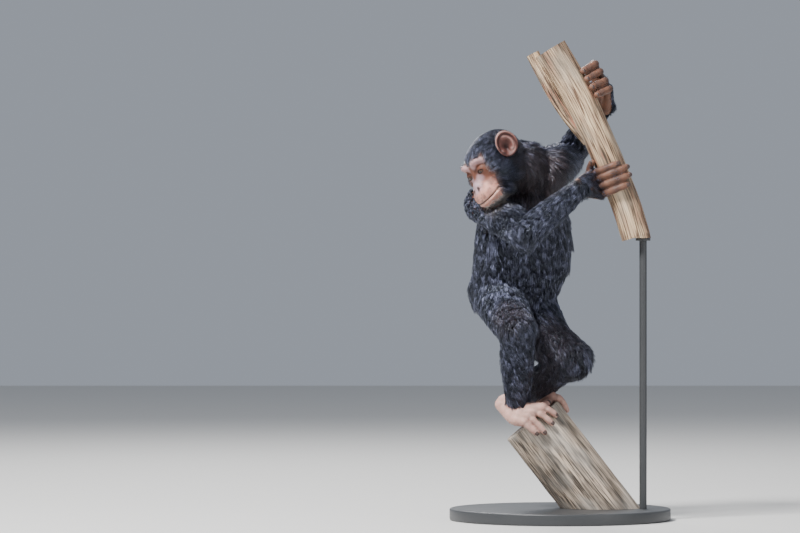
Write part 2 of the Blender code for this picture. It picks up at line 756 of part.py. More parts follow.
def build_left_hand(mat):
    """Make the left hand, hooked on the right and far side of the trunk."""
    wrist = np.array(WRIST["left"])
    rows = [trunk_place(118, 0.064, z) for z, _ in LEFT_FINGERS]
    knuckles = np.mean(rows, axis=0)
    palm = build_palm("hand_left", wrist, knuckles, trunk_run(0.815)[0], mat)
    pieces = []
    for (height, end), row in zip(LEFT_FINGERS, rows):
        reach = trunk_radius(height) + FINGER_RADIUS + 0.0004
        path = [knuckles + 0.9 * (row - knuckles), trunk_place(98, 0.059, height),
                trunk_place(80, 0.047, height), trunk_place(66, reach + 0.001, height),
                trunk_place(end, reach, height)]
        pieces.append(digit(path, FINGER_RADIUS))
    reach = trunk_radius(0.810) + THUMB_RADIUS
    thumb = [wrist + 0.45 * (knuckles - wrist), trunk_place(142, reach + 0.010, 0.812),
             trunk_place(166, reach + 0.001, 0.826), trunk_place(186, reach, 0.836)]
    pieces.append(digit(thumb, THUMB_RADIUS, 5))
    fuse(palm, pieces)
    return palm


RIGHT_TOES = ((97.0, 0.026, 103.0), (86.0, 0.0336, 89.0), (67.0, 0.029, 75.0), (52.0, 0.0214, 60.0))
LEFT_TOES = ((-18.0, 0.030, -12.0), (-32.0, 0.031, -26.0), (-46.0, 0.028, -41.0), (-59.0, 0.022, -56.0))


def build_right_foot(mat):
    """Make the right foot, heel raised and toes bent over the near rim of the branch."""
    ankle = np.array(ANKLE["right"])
    heel = np.array([-0.106, -0.008, 0.223])
    instep = np.array([-0.078, -0.046, 0.2035])
    ball = np.mean([stump_place(angle, STUMP_RADIUS + 0.003, -0.0095) for _, _, angle in RIGHT_TOES], axis=0)
    sole = rounded_tube("foot_right", [heel, instep, ball], RIGHT_SOLE_WIDTHS, RIGHT_SOLE_THICKNESSES,
                        STUMP_ACROSS, 12, mat, count=6)
    pieces = [rounded_tube("ankle", [ankle + (0.0, 0.0, 0.012), ankle, (heel + instep) / 2],
                           ANKLE_WIDTHS, ANKLE_DEPTHS, NEAR, 12, count=4)]
    for tip_angle, tip_depth, root_angle in RIGHT_TOES:
        reach = STUMP_RADIUS + TOE_RADIUS + 0.001
        path = [stump_place(root_angle, STUMP_RADIUS - 0.012, -0.010),
                stump_place(root_angle, STUMP_RADIUS + 0.001, -0.0085),
                stump_place(root_angle + 0.4 * (tip_angle - root_angle), reach + 0.002, 0.003),
                stump_place(tip_angle, reach, tip_depth - 0.004)]
        pieces.append(digit(path, TOE_RADIUS))
    hallux = [instep + (0.006, -0.004, -0.004), stump_place(66, 0.036, -0.0095),
              stump_place(38, 0.042, -0.0085), stump_place(24, 0.047, -0.0080)]
    pieces.append(digit(hallux, HALLUX_RADIUS, 5))
    fuse(sole, pieces)
    return sole


def build_left_foot(mat):
    """Make the left foot, flat on the far part of the cut face, toes over the far rim."""
    ankle = np.array(ANKLE["left"])
    heel = stump_place(-106, 0.047, -0.0165)
    instep = stump_place(-64, 0.042, -0.0180)
    ball = np.mean([stump_place(angle, STUMP_RADIUS - 0.001, -0.0110) for _, _, angle in LEFT_TOES], axis=0)
    sole = rounded_tube("foot_left", [heel, instep, ball], LEFT_SOLE_WIDTHS, LEFT_SOLE_THICKNESSES,
                        STUMP_FACING, 12, mat, count=6)
    pieces = [rounded_tube("ankle", [ankle + (0.004, 0.0, 0.010), ankle, (heel + 2 * instep) / 3],
                           ANKLE_WIDTHS, ANKLE_DEPTHS, NEAR, 12, count=4)]
    for tip_angle, tip_depth, root_angle in LEFT_TOES:
        reach = STUMP_RADIUS + TOE_RADIUS + 0.001
        path = [stump_place(root_angle, STUMP_RADIUS - 0.014, -0.011),
                stump_place(root_angle, STUMP_RADIUS + 0.001, -0.0085),
                stump_place(root_angle + 0.4 * (tip_angle - root_angle), reach + 0.002, 0.003),
                stump_place(tip_angle, reach, tip_depth - 0.004)]
        pieces.append(digit(path, TOE_RADIUS))
    hallux = [instep + (0.002, -0.010, -0.004), stump_place(-44, 0.031, -0.0095),
              stump_place(-22, 0.037, -0.0085), stump_place(-8, 0.046, -0.0080)]
    pieces.append(digit(hallux, HALLUX_RADIUS, 5))
    fuse(sole, pieces)
    return sole


# Locks of the long coat: on each node their number, length, half width, lift, and the lie they follow
LOCKS = {
    "head": (15, 0.030, 0.0080, 0.0075, (0.15, 0.35, -1.0)),
    "neck": (5, 0.036, 0.0095, 0.0060, (0.3, 0.4, -1.0)),
    "chest": (13, 0.046, 0.0110, 0.0075, (0.0, 0.0, -1.0)),
    "abdomen": (14, 0.046, 0.0110, 0.0075, (0.0, 0.0, -1.0)),
    "pelvis": (9, 0.040, 0.0105, 0.0070, (0.0, 0.1, -1.0)),
    "upper_arm_right": (11, 0.038, 0.0085, 0.0065, (0.52, -0.62, -0.62)),
    "upper_arm_left": (7, 0.038, 0.0085, 0.0065, (0.25, 0.75, -0.60)),
    "forearm_right": (12, 0.036, 0.0080, 0.0065, (-0.55, -0.30, -0.78)),
    "forearm_left": (8, 0.036, 0.0080, 0.0065, (-0.35, 0.55, -0.75)),
    "thigh_right": (6, 0.036, 0.0090, 0.0060, (0.15, -0.35, -0.92)),
    "thigh_left": (6, 0.036, 0.0090, 0.0060, (0.45, -0.40, -0.80)),
    "shank_right": (5, 0.032, 0.0080, 0.0055, (0.0, 0.25, -1.0)),
    "shank_left": (5, 0.032, 0.0080, 0.0055, (-0.45, 0.45, -0.77)),
}
LOCK_SINK = 0.0055
LOCK_THICK = 0.0030
LOCK_DROOP = 0.12
LOCK_CLEAR = 0.0006
LOWEST_LOCK = 0.20


def lock(root, facing, lie, length, half_width, lift, tree):
    """Make one flat tapered lock that leaves the surface at its root and bends along the lie."""
    across = unit(np.cross(lie, facing))
    stations = ((-0.06, -LOCK_SINK, 0.75), (0.30, 0.30 * lift, 1.0), (0.66, 0.80 * lift, 0.72))
    verts = []
    for share, height, width in stations:
        near, normal = tree.find_nearest(Vector(root + lie * length * share))[:2]
        normal = np.array(normal)
        centre = np.array(near) + normal * height
        thick = LOCK_THICK * (0.6 + 0.4 * width)
        verts += [centre - across * half_width * width - normal * thick / 2,
                  centre + across * half_width * width - normal * thick / 2, centre + normal * thick]
    near, normal = tree.find_nearest(Vector(root + lie * length))[:2]
    verts.append(np.array(near) + np.array(normal) * lift - np.array([0.0, 0.0, LOCK_DROOP * length]))
    faces = [(0, 1, 2)]
    for k in range(3):
        nxt = (k + 1) % 3
        faces += [(k, nxt, nxt + 3, k + 3), (k + 3, nxt + 3, nxt + 6, k + 6), (k + 6, nxt + 6, 9)]
    return mesh_object("lock", verts, faces)


def spread_roots(obj, count, rng):
    """Choose points spread evenly over an object's surface, with the facing of each."""
    mesh = obj.data
    areas = np.array([face.area for face in mesh.polygons])
    picks = rng.choice(len(areas), size=count * 30, p=areas / areas.sum())
    points, facings = [], []
    for pick in picks:
        face = mesh.polygons[pick]
        corners = np.array([mesh.vertices[k].co for k in face.vertices])
        weights = rng.dirichlet(np.ones(len(corners)))
        points.append(weights @ corners)
        facings.append(np.array(face.normal))
    points, facings = np.array(points), np.array(facings)
    order = [0]
    distance = np.linalg.norm(points - points[0], axis=1)
    while len(order) < count * 3:
        best = int(np.argmax(distance))
        order.append(best)
        distance = np.minimum(distance, np.linalg.norm(points - points[best], axis=1))
    return points[order], facings[order]


def bare_place(name, point):
    """Tell whether a point of the coat's nodes is too near bare skin for a long lock."""
    if name != "head":
        return False
    local = (point - HEAD_ORIGIN) @ np.array([unit(HEAD_FORWARD), unit(HEAD_LEFT), unit(HEAD_UP)]).T
    return local[0] > 0.030 or local[2] > -0.004 or abs(local[1]) < 0.018


def add_locks(obj, others, rng):
    """Fuse the long locks of one node, leaving out any that would touch another node."""
    count, length, half_width, lift, lie = LOCKS[obj.name]
    tree = surface_tree(obj)
    other_trees = [surface_tree(other) for other in others if other is not obj]
    points, facings = spread_roots(obj, count, rng)
    pieces = []
    for point, facing in zip(points, facings):
        if len(pieces) == count:
            break
        lay = np.array(lie) - facing * np.dot(lie, facing)
        if np.linalg.norm(lay) < 0.25 or bare_place(obj.name, point) or point[2] < LOWEST_LOCK + length:
            continue
        size = rng.uniform(0.85, 1.15)
        lay = unit(unit(lay) + rng.normal(0, 0.10, 3))
        wide = half_width * rng.uniform(0.9, 1.15)
        piece = lock(point, facing, lay, length * size, wide, lift * size, tree)
        margin = inflated_copy(piece, LOCK_CLEAR)
        margin_tree = surface_tree(margin)
        bpy.data.objects.remove(margin, do_unlink=True)
        if any(margin_tree.overlap(other) for other in other_trees):
            bpy.data.objects.remove(piece, do_unlink=True)
            continue
        pieces.append(piece)
    fuse(obj, pieces)


def build_animal(mats):
    """Make every node of the animal, then seat each on those made before it."""
    coat = mats["coat"]
    eyes = [build_eye("eye_left", 1, mats["eye"]), build_eye("eye_right", -1, mats["eye"])]
    head = build_head(mats["face"], eyes)
    nodes = [build_trunk(mats["bare_wood"]), build_stump(mats["weathered_wood"]), *eyes, head]
    nodes += [build_ear("ear_left", 1, mats["ear"]), build_ear("ear_right", -1, mats["ear"])]
    nodes.append(build_body_part("chest", ABDOMEN_TOP + GAP, 1.0, 8, coat))
    nodes.append(build_body_part("abdomen", PELVIS_TOP + GAP, ABDOMEN_TOP, 6, coat))
    nodes.append(build_body_part("pelvis", 0.0, PELVIS_TOP, 7, coat))
    neck_path = [*NECK_PATH, head_to_world(NECK_IN_HEAD)[0]]
    nodes.append(rounded_tube("neck", neck_path, NECK_WIDTHS, NECK_DEPTHS, CHEST_LEFT, 14, coat, count=5))
    thigh_bow = {"right": (0, 0, 0), "left": LEFT_THIGH_BOW}
    shank_bow = {"right": (0, 0, 0), "left": LEFT_SHANK_BOW}
    for side in ("right", "left"):
        nodes.append(build_segment("forearm_" + side, ELBOW[side], WRIST[side], FOREARM_RADII,
                                   LOWER_LIMB_COAT, coat))
        nodes.append(build_segment("upper_arm_" + side, SHOULDER[side], ELBOW[side], UPPER_ARM_RADII,
                                   LIMB_COAT, coat))
        nodes.append(build_segment("shank_" + side, KNEE[side], ANKLE[side], SHANK_RADII,
                                   LOWER_LIMB_COAT, coat, bow=shank_bow[side]))
        nodes.append(build_segment("thigh_" + side, HIP[side], KNEE[side], THIGH_RADII, LIMB_COAT, coat,
                                   bow=thigh_bow[side]))
    nodes += [build_right_hand(mats["hand"]), build_left_hand(mats["hand"])]
    nodes += [build_right_foot(mats["foot"]), build_left_foot(mats["foot"])]
    for node in nodes:
        plain_shapes.setdefault(node.name, node.data.copy())
    for place, node in enumerate(nodes):
        if node not in eyes and node is not head:
            seat(node, nodes[:place])
    rng = np.random.default_rng(SEED)
    for node in nodes:
        if node.name in LOCKS:
            add_locks(node, nodes, rng)


def main():
    """Build the whole object."""
    clear_scene()
    mats = {
        "stand": material("stand_paint", (0.045, 0.047, 0.050), 0.45),
        "bare_wood": material("bare_wood", (0.50, 0.40, 0.29), 0.75),
        "weathered_wood": material("weathered_wood", (0.24, 0.20, 0.16), 0.85),
        "coat": material("coat", (0.020, 0.020, 0.024), 0.70),
        "face": material("face_skin", (0.42, 0.25, 0.20), 0.55),
        "ear": material("ear_skin", (0.45, 0.22, 0.16), 0.55),
        "hand": material("hand_skin", (0.30, 0.18, 0.15), 0.55),
        "foot": material("foot_skin", (0.55, 0.36, 0.30), 0.55),
        "eye": material("eye", (0.09, 0.04, 0.02), 0.10),
    }
    build_base(mats["stand"])
    build_rod(mats["stand"])
    build_animal(mats)


if __name__ == "__main__":
    main()
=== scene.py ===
# %% [markdown]
# A young chimpanzee, life size, as a museum shows one
#
# The animal stands on the sawn end of a branch and holds a bare trunk with both hands.
# This lesson dresses the imported solids: one skin with no seams, eyes, ears, nails, a coat
# of many thousand tufts, two pieces of wood and a display stand.
# We start by loading the solids. The dressed model keeps to their box.

import math

import bmesh
import bpy
import numpy as np
from mathutils.kdtree import KDTree
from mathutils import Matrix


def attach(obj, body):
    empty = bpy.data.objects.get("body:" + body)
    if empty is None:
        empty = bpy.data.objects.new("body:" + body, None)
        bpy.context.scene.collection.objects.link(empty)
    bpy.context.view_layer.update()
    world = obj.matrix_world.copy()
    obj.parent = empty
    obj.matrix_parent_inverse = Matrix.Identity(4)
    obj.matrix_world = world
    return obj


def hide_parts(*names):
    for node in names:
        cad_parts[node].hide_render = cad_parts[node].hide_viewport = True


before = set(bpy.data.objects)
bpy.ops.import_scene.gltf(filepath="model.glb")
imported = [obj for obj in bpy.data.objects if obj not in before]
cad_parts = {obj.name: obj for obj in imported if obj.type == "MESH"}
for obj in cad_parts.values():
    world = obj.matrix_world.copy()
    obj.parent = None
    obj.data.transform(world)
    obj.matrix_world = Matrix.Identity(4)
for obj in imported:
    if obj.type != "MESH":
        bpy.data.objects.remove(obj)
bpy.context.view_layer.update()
bpy.ops.object.select_all(action="DESELECT")
print("solids:", sorted(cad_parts))

# %% [markdown]
# The animal's own sizes
#
# Everything below is worked out from the joints of the skeleton, the girth of the flesh and a
# small frame of axes for the head. These are the sizes that the solids were made from. The flesh
# lies inside the solids by the depth of the coat that they carry.

# %% Sizes of the skeleton and the flesh
CHEST_FRONT = np.array([0.62, -0.785, 0.0])
CHEST_LEFT = np.array([0.785, 0.62, 0.0])
NEAR = np.array([0.0, -1.0, 0.0])

BODY_SECTIONS = np.array((
    (0.376, -0.090, 0.064, 0.026, 0.026), (0.388, -0.090, 0.065, 0.052, 0.046),
    (0.412, -0.087, 0.065, 0.076, 0.064), (0.445, -0.081, 0.061, 0.089, 0.071),
    (0.485, -0.071, 0.052, 0.097, 0.073), (0.530, -0.068, 0.042, 0.098, 0.071),
    (0.575, -0.070, 0.033, 0.092, 0.067), (0.610, -0.072, 0.027, 0.080, 0.060),
    (0.637, -0.078, 0.021, 0.063, 0.049), (0.655, -0.083, 0.017, 0.043, 0.037),
))
SHOULDER = {"right": (-0.143, -0.033, 0.597), "left": (-0.027, 0.012, 0.664)}
ELBOW = {"right": (-0.072, -0.160, 0.539), "left": (0.023, 0.160, 0.6965)}
WRIST = {"right": (0.036, -0.088, 0.630), "left": (0.0855, 0.040, 0.790)}
HIP = {"right": (-0.120, 0.052, 0.430), "left": (-0.054, 0.085, 0.415)}
KNEE = {"right": (-0.084, -0.083, 0.362), "left": (0.021, -0.030, 0.307)}
ANKLE = {"right": (-0.082, -0.035, 0.225), "left": (-0.0513, 0.050, 0.2215)}
THIGH_BOW = {"right": (0, 0, 0), "left": (-0.010, 0.0, -0.012)}
SHANK_BOW = {"right": (0, 0, 0), "left": (-0.007, 0.0, 0.009)}
UPPER_ARM_RADII = (0.036, 0.031, 0.028, 0.025, 0.024)
FOREARM_RADII = (0.0225, 0.024, 0.022, 0.018, 0.0145)
THIGH_RADII = (0.042, 0.043, 0.040, 0.036, 0.030)
SHANK_RADII = (0.028, 0.029, 0.027, 0.0225, 0.0175)
NECK_PATH = ((-0.078, 0.024, 0.630), (-0.078, -0.004, 0.668), (-0.115, -0.068, 0.680))
NECK_RADII = (0.052, 0.046, 0.038)

TRUNK_AXIS = np.array(((0.535, 0.143), (0.598, 0.1235), (0.668, 0.0955), (0.712, 0.0765),
                       (0.759, 0.0545), (0.816, 0.0265), (0.892, -0.0200)))
TRUNK_Y = -0.030
TRUNK_TOP_Z, TRUNK_END_Z = 0.892, 0.535
TRUNK_RADII = (0.0315, 0.0285, 0.0275)
STUMP_FACE = np.array([-0.0532, 0.0, 0.189])
STUMP_FACING = np.array([-0.614, 0.0, 0.789])
STUMP_ACROSS = np.array([0.789, 0.0, 0.614])
STUMP_RADIUS = 0.0595
BASE_TOP = 0.022
GAP = 0.0003

FINGER_RADIUS, THUMB_RADIUS = 0.0067, 0.0065
TOE_RADIUS, HALLUX_RADIUS = 0.0062, 0.0082
RIGHT_FINGERS = ((0.670, 20.0), (0.6577, 47.0), (0.6430, 43.0), (0.6290, 24.0))
LEFT_FINGERS = ((0.836, 52.0), (0.8215, 50.0), (0.8070, 52.0), (0.7935, 58.0))
RIGHT_TOES = ((97.0, 0.026, 103.0), (86.0, 0.0336, 89.0), (67.0, 0.029, 75.0), (52.0, 0.0214, 60.0))
LEFT_TOES = ((-18.0, 0.030, -12.0), (-32.0, 0.031, -26.0), (-46.0, 0.028, -41.0), (-59.0, 0.022, -56.0))


def unit(vector):
    """Return a vector, or each row of many, at length one."""
    vector = np.asarray(vector, dtype=float)
    return vector / (np.linalg.norm(vector, axis=-1, keepdims=True) + 1e-12)


HEAD_ORIGIN = np.array([-0.131, -0.075, 0.6850])
HEAD_AXES = np.array([unit((-0.613, -0.554, -0.563)), unit((0.463, -0.830, 0.312)),
                      unit((-0.640, -0.069, 0.766))])
HEAD_LEFT = HEAD_AXES[1]
EYE_RADIUS = 0.0095
EYE_PLACE = (0.0465, 0.0195, -0.002)
CROWN_Z, SOLE_Z = 0.745, 0.185


def head_to_world(points):
    """Carry points given as forward, left and up of the head into the world."""
    return HEAD_ORIGIN + np.atleast_2d(np.asarray(points, dtype=float)) @ HEAD_AXES


def world_to_head(points):
    """Carry world points into the head's forward, left and up."""
    return (points - HEAD_ORIGIN) @ HEAD_AXES.T


def both_sides(points):
    """Return points of the head's frame folded onto its left side, for what both sides share."""
    return np.column_stack([points[:, 0], np.abs(points[:, 1]), points[:, 2]])


print("sole to crown about", round(CROWN_Z - SOLE_Z, 3), "m")

# %% [markdown]
# Smooth curves and places on the wood
#
# A finger is a bent rod, and so are a thigh and a trunk. One helper reads a smooth curve through
# a few points. Two more give a place round the trunk and round the branch by angle, reach and
# height, so that each finger and toe is laid on the wood that it grips.

# %% Curves, and places on the trunk and the branch
def curve_point(points, place):
    """Return the point of a smooth curve through a few points, its place counted in those points."""
    padded = np.vstack([2 * points[0] - points[1], points, 2 * points[-1] - points[-2]])
    start = min(int(place), len(points) - 2)
    t = place - start
    a, b, c, d = padded[start:start + 4]
    return 0.5 * (2 * b + (c - a) * t + (2 * a - 5 * b + 4 * c - d) * t ** 2
                  + (3 * b - a - 3 * c + d) * t ** 3)


def smooth_path(points, count):
    """Read a smooth curve at evenly spaced places."""
    points = np.asarray(points, dtype=float)
    return np.array([curve_point(points, place) for place in np.linspace(0, len(points) - 1, count)])


def trunk_axis(height):
    """Return the point of the bare trunk's axis at a height."""
    place = np.interp(height, TRUNK_AXIS[:, 0], np.arange(len(TRUNK_AXIS)))
    points = np.column_stack([TRUNK_AXIS[:, 1], np.full(len(TRUNK_AXIS), TRUNK_Y), TRUNK_AXIS[:, 0]])
    return curve_point(points, place)


def trunk_run(height):
    """Return the trunk's downward direction and the direction across it, away to the right."""
    run = unit(trunk_axis(height - 0.01) - trunk_axis(height + 0.01))
    return run, np.array([-run[2], 0.0, run[0]])


def trunk_radius(height):
    """Return the bare trunk's radius at a height."""
    share = (TRUNK_TOP_Z - height) / (TRUNK_TOP_Z - TRUNK_END_Z)
    return float(np.interp(share, (0.0, 0.5, 1.0), TRUNK_RADII))


def trunk_place(angle, reach, height):
    """Return a point round the trunk: angle from the near side, distance off its axis, height."""
    turn = math.radians(angle)
    return trunk_axis(height) + reach * (math.cos(turn) * NEAR + math.sin(turn) * trunk_run(height)[1])


def stump_place(angle, reach, depth):
    """Return a point round the branch: angle towards the near side, reach, depth below its face."""
    turn = math.radians(angle)
    return STUMP_FACE + reach * (math.cos(turn) * STUMP_ACROSS + math.sin(turn) * NEAR) - STUMP_FACING * depth


print("trunk radius at the right hand:", round(trunk_radius(0.65) * 1000, 1), "mm")

# %% [markdown]
# Limbs, palms, soles and digits as bent rods
#
# Each rod is a list of points with a radius at each. Palms and soles are flat, so they are a
# fan of rods side by side. A digit swells a little at its joints, which is what makes a finger
# look like bone and skin rather than a tube.

# %% The rods of the body
def rod(points, radii, count):
    """Return the points of a smooth rod and the radius at each."""
    path = smooth_path(points, count)
    known = np.linspace(0, 1, len(radii))
    return path, np.interp(np.linspace(0, 1, count), known, radii)


def segment_rod(start, end, radii, bow=(0, 0, 0), count=9):
    """Return the rod of one limb segment."""
    start, end = np.array(start), np.array(end)
    return rod([start, (start + end) / 2 + np.array(bow), end], radii, count)


DIGIT_GIRTH = (1.10, 0.98, 1.08, 0.94, 1.02, 0.90, 0.98, 0.80)


def digit_rod(points, radius):
    """Return the rod of a finger or toe, thicker at its joints."""
    return rod(points, np.array(DIGIT_GIRTH) * radius, 15)


def fan_rods(ends, edges, root, middle, root_radius, middle_radius, end_radius, strands=4):
    """Return rods side by side that spread from a narrow root to a wide row of ends."""
    rods = []
    for share in np.linspace(0.0, 1.0, strands):
        end = ends[0] + share * (ends[1] - ends[0])
        offset = (share - 0.5) * edges
        rods.append(rod([root + 0.25 * offset, middle + 0.62 * offset, end],
                        (root_radius, middle_radius, end_radius), 9))
    return rods


def hand_rods(side):
    """Return the rods of one hand as palm strands and digits."""
    wrist = np.array(WRIST[side])
    if side == "right":
        fingers, knuckle_angle, knuckle_reach, run_height = RIGHT_FINGERS, -74, None, 0.650
    else:
        fingers, knuckle_angle, knuckle_reach, run_height = LEFT_FINGERS, 118, 0.064, 0.815
    rows = [trunk_place(knuckle_angle, knuckle_reach or trunk_radius(z) + 0.012, z) for z, _ in fingers]
    knuckles = np.mean(rows, axis=0)
    run = trunk_run(run_height)[0]
    edge = rows[-1] - rows[0]
    palm = fan_rods((rows[0], rows[-1]), edge, wrist, (wrist + knuckles) / 2, 0.0122, 0.0112, 0.0088)
    digits = []
    for (height, end), row in zip(fingers, rows):
        reach = trunk_radius(height) + FINGER_RADIUS + 0.0006
        start = knuckles + 0.9 * (row - knuckles)
        if side == "right":
            path = [start] + [trunk_place(angle, reach + 0.001, height) for angle in np.linspace(-56, end, 5)]
        else:
            path = [start, trunk_place(98, 0.059, height), trunk_place(80, 0.047, height),
                    trunk_place(66, reach + 0.001, height), trunk_place(end, reach, height)]
        digits.append(digit_rod(path, FINGER_RADIUS))
    if side == "right":
        reach = trunk_radius(0.680) + THUMB_RADIUS
        thumb = [wrist + 0.55 * (knuckles - wrist) - run * 0.012, trunk_place(-84, reach + 0.010, 0.6725),
                 trunk_place(-70, reach + 0.002, 0.684), trunk_place(-58, reach, 0.688)]
    else:
        reach = trunk_radius(0.810) + THUMB_RADIUS
        thumb = [wrist + 0.45 * (knuckles - wrist), trunk_place(142, reach + 0.010, 0.812),
                 trunk_place(166, reach + 0.001, 0.826), trunk_place(186, reach, 0.836)]
    digits.append(digit_rod(thumb, THUMB_RADIUS))
    return palm, digits


def foot_rods(side):
    """Return the rods of one foot as sole strands, heel and ankle, and digits."""
    ankle = np.array(ANKLE[side])
    if side == "right":
        heel, instep = np.array([-0.106, -0.008, 0.223]), np.array([-0.078, -0.046, 0.2035])
        toes, ball_reach, ball_lift = RIGHT_TOES, STUMP_RADIUS + 0.003, -0.0095
        hallux = [instep + (0.006, -0.004, -0.004), stump_place(66, 0.036, -0.0095),
                  stump_place(38, 0.042, -0.0085), stump_place(24, 0.047, -0.0080)]
    else:
        heel, instep = stump_place(-106, 0.047, -0.0165), stump_place(-64, 0.042, -0.0180)
        toes, ball_reach, ball_lift = LEFT_TOES, STUMP_RADIUS - 0.001, -0.0110
        hallux = [instep + (0.002, -0.010, -0.004), stump_place(-44, 0.031, -0.0095),
                  stump_place(-22, 0.037, -0.0085), stump_place(-8, 0.046, -0.0080)]
    rows = [stump_place(angle, ball_reach, ball_lift) for _, _, angle in toes]
    sole = fan_rods((rows[0], rows[-1]), rows[-1] - rows[0], heel, instep, 0.0135, 0.0128, 0.0090)
    sole.append(rod([heel, (heel + instep) / 2, instep], (0.0150, 0.0150, 0.0135), 7))
    sole.append(rod([ankle + (0.0, 0.0, 0.012), ankle, (heel + instep) / 2], (0.0150, 0.0155, 0.0150), 7))
    digits = []
    for tip_angle, tip_depth, root_angle in toes:
        reach = STUMP_RADIUS + TOE_RADIUS + 0.0012
        path = [stump_place(root_angle, STUMP_RADIUS - 0.013, -0.010),
                stump_place(root_angle, STUMP_RADIUS + 0.001, -0.0085),
                stump_place(root_angle + 0.4 * (tip_angle - root_angle), reach + 0.002, 0.003),
                stump_place(tip_angle, reach, tip_depth - 0.004)]
        digits.append(digit_rod(path, TOE_RADIUS))
    digits.append(digit_rod(hallux, HALLUX_RADIUS))
    return sole, digits


RODS = {"neck": [rod(NECK_PATH, NECK_RADII, 7)]}
for side in ("right", "left"):
    RODS["upper_arm_" + side] = [segment_rod(SHOULDER[side], ELBOW[side], UPPER_ARM_RADII)]
    RODS["forearm_" + side] = [segment_rod(ELBOW[side], WRIST[side], FOREARM_RADII)]
    RODS["thigh_" + side] = [segment_rod(HIP[side], KNEE[side], THIGH_RADII, THIGH_BOW[side])]
    RODS["shank_" + side] = [segment_rod(KNEE[side], ANKLE[side], SHANK_RADII, SHANK_BOW[side])]
    RODS["palm_" + side], RODS["fingers_" + side] = hand_rods(side)
    RODS["sole_" + side], RODS["toes_" + side] = foot_rods(side)


def row_of_digits(name):
    """Return the middle of the roots of four fingers or toes."""
    return np.mean([path[0] for path, _ in RODS[name][:4]], axis=0)


ENDS = {}
for side in ("right", "left"):
    ENDS["palm_" + side] = (np.array(WRIST[side]), row_of_digits("fingers_" + side))
for side in ("right", "left"):
    ENDS["sole_" + side] = (np.array(ANKLE[side]), row_of_digits("toes_" + side))
print("rods:", sum(len(rods) for rods in RODS.values()))

# %% [markdown]
# The flesh as one distance field
#
# A field gives, for any point, how far it lies outside the flesh. Fields join with a smooth
# fillet, so a shoulder runs into a chest and a finger into a palm with no seam. The head is a
# handful of ellipsoids: braincase, cheekbones, jaw, muzzle and brow ridge, with the sockets,
# nostrils and the line of the mouth taken out.

# %% Fields of simple shapes and how they join
FAR = 0.022


def blend(first, second, width):
    """Join two fields with a fillet of the given width."""
    mix = np.clip(0.5 + 0.5 * (second - first) / width, 0.0, 1.0)
    return second * (1 - mix) + first * mix - width * mix * (1 - mix)


def carve(first, second, width):
    """Take the second field's shape out of the first with a soft edge."""
    return -blend(-first, second, width)


def smooth_step(value, start, end):
    """Return 0 before the start and 1 past the end, with a smooth change between."""
    share = np.clip((value - start) / (end - start), 0.0, 1.0)
    return share * share * (3 - 2 * share)


def ellipsoid_field(points, centre, radii):
    """Return the field of an ellipsoid."""
    offset = points - np.array(centre)
    radii = np.array(radii)
    scaled = np.linalg.norm(offset / radii, axis=1)
    steep = np.linalg.norm(offset / radii ** 2, axis=1) + 1e-12
    return scaled * (scaled - 1.0) / steep


def rod_field(points, path, radii):
    """Return the field of a bent rod; points far off get a plain large distance."""
    field = np.full(len(points), FAR)
    low, high = path.min(axis=0) - np.max(radii) - FAR, path.max(axis=0) + np.max(radii) + FAR
    near = np.flatnonzero(np.all((points > low) & (points < high), axis=1))
    close = points[near]
    best = np.full(len(near), FAR)
    for a, b, ra, rb in zip(path[:-1], path[1:], radii[:-1], radii[1:]):
        run = b - a
        share = np.clip((close - a) @ run / np.dot(run, run), 0.0, 1.0)
        reach = np.linalg.norm(close - a - share[:, None] * run, axis=1)
        best = np.minimum(best, reach - ra - share * (rb - ra))
    field[near] = best
    return field


SECTION_RISE = 0.030


def torso_field(points):
    """Return the field of the torso, rounded past its lowest and highest section."""
    table = BODY_SECTIONS
    height = np.clip(points[:, 2], table[0, 0], table[-1, 0])
    x, y, wide, deep = (np.interp(height, table[:, 0], table[:, k]) for k in range(1, 5))
    offset = points - np.column_stack([x, y, height])
    across = offset @ CHEST_LEFT / wide
    along = offset @ CHEST_FRONT / deep
    over = offset[:, 2] / SECTION_RISE
    return (np.sqrt(across ** 2 + along ** 2 + over ** 2) - 1.0) * np.minimum(wide, deep)


print("field at the hip:", round(float(torso_field(np.array([HIP["left"]]))[0]), 4))

# %% The field of the head
LID_WALL = 0.0014
SKULL = ((-0.006, 0.0, 0.001), (0.056, 0.0480, 0.0435))
FOREHEAD = ((0.024, 0.0, 0.012), (0.025, 0.036, 0.020))
CHEEK = ((0.026, 0.034, -0.014), (0.024, 0.0175, 0.017))
JAW_ANGLE = ((0.006, 0.029, -0.034), (0.028, 0.016, 0.024))
MUZZLE = ((0.048, 0.0, -0.040), (0.034, 0.0285, 0.025))
UPPER_LIP = ((0.0615, 0.0, -0.0420), (0.0220, 0.0270, 0.0150))
CHIN = ((0.041, 0.0, -0.0580), (0.0375, 0.0270, 0.0145))
MID_FACE = ((0.0420, 0.0100, -0.0150), (0.0170, 0.0160, 0.0160))
SOCKET = ((0.0620, 0.0205, 0.0005), (0.0125, 0.0120, 0.0092))
NOSE = ((0.0615, 0.0, -0.0195), (0.0118, 0.0118, 0.0080))
NOSE_WING = ((0.0675, 0.0062, -0.0235), (0.0060, 0.0052, 0.0048))
LID_OPENING = (0.0066, 0.0080, 0.0038)
BROW_ARCH = ((0.0480, 0.0060, 0.0095), (0.0525, 0.0125, 0.0170), (0.0500, 0.0225, 0.0185),
             (0.0415, 0.0320, 0.0125))
BROW_GIRTH = (0.0040, 0.0054, 0.0056, 0.0044)
NOSE_BRIDGE = ((0.0440, 0.0, 0.0150), (0.0510, 0.0, -0.0010), (0.0580, 0.0, -0.0150))
NOSTRIL = ((0.0800, 0.0092, -0.0275), (0.0710, 0.0066, -0.0235), (0.0620, 0.0050, -0.0205))
MOUTH_CENTRE = (0.030, 0.0, -0.0510)
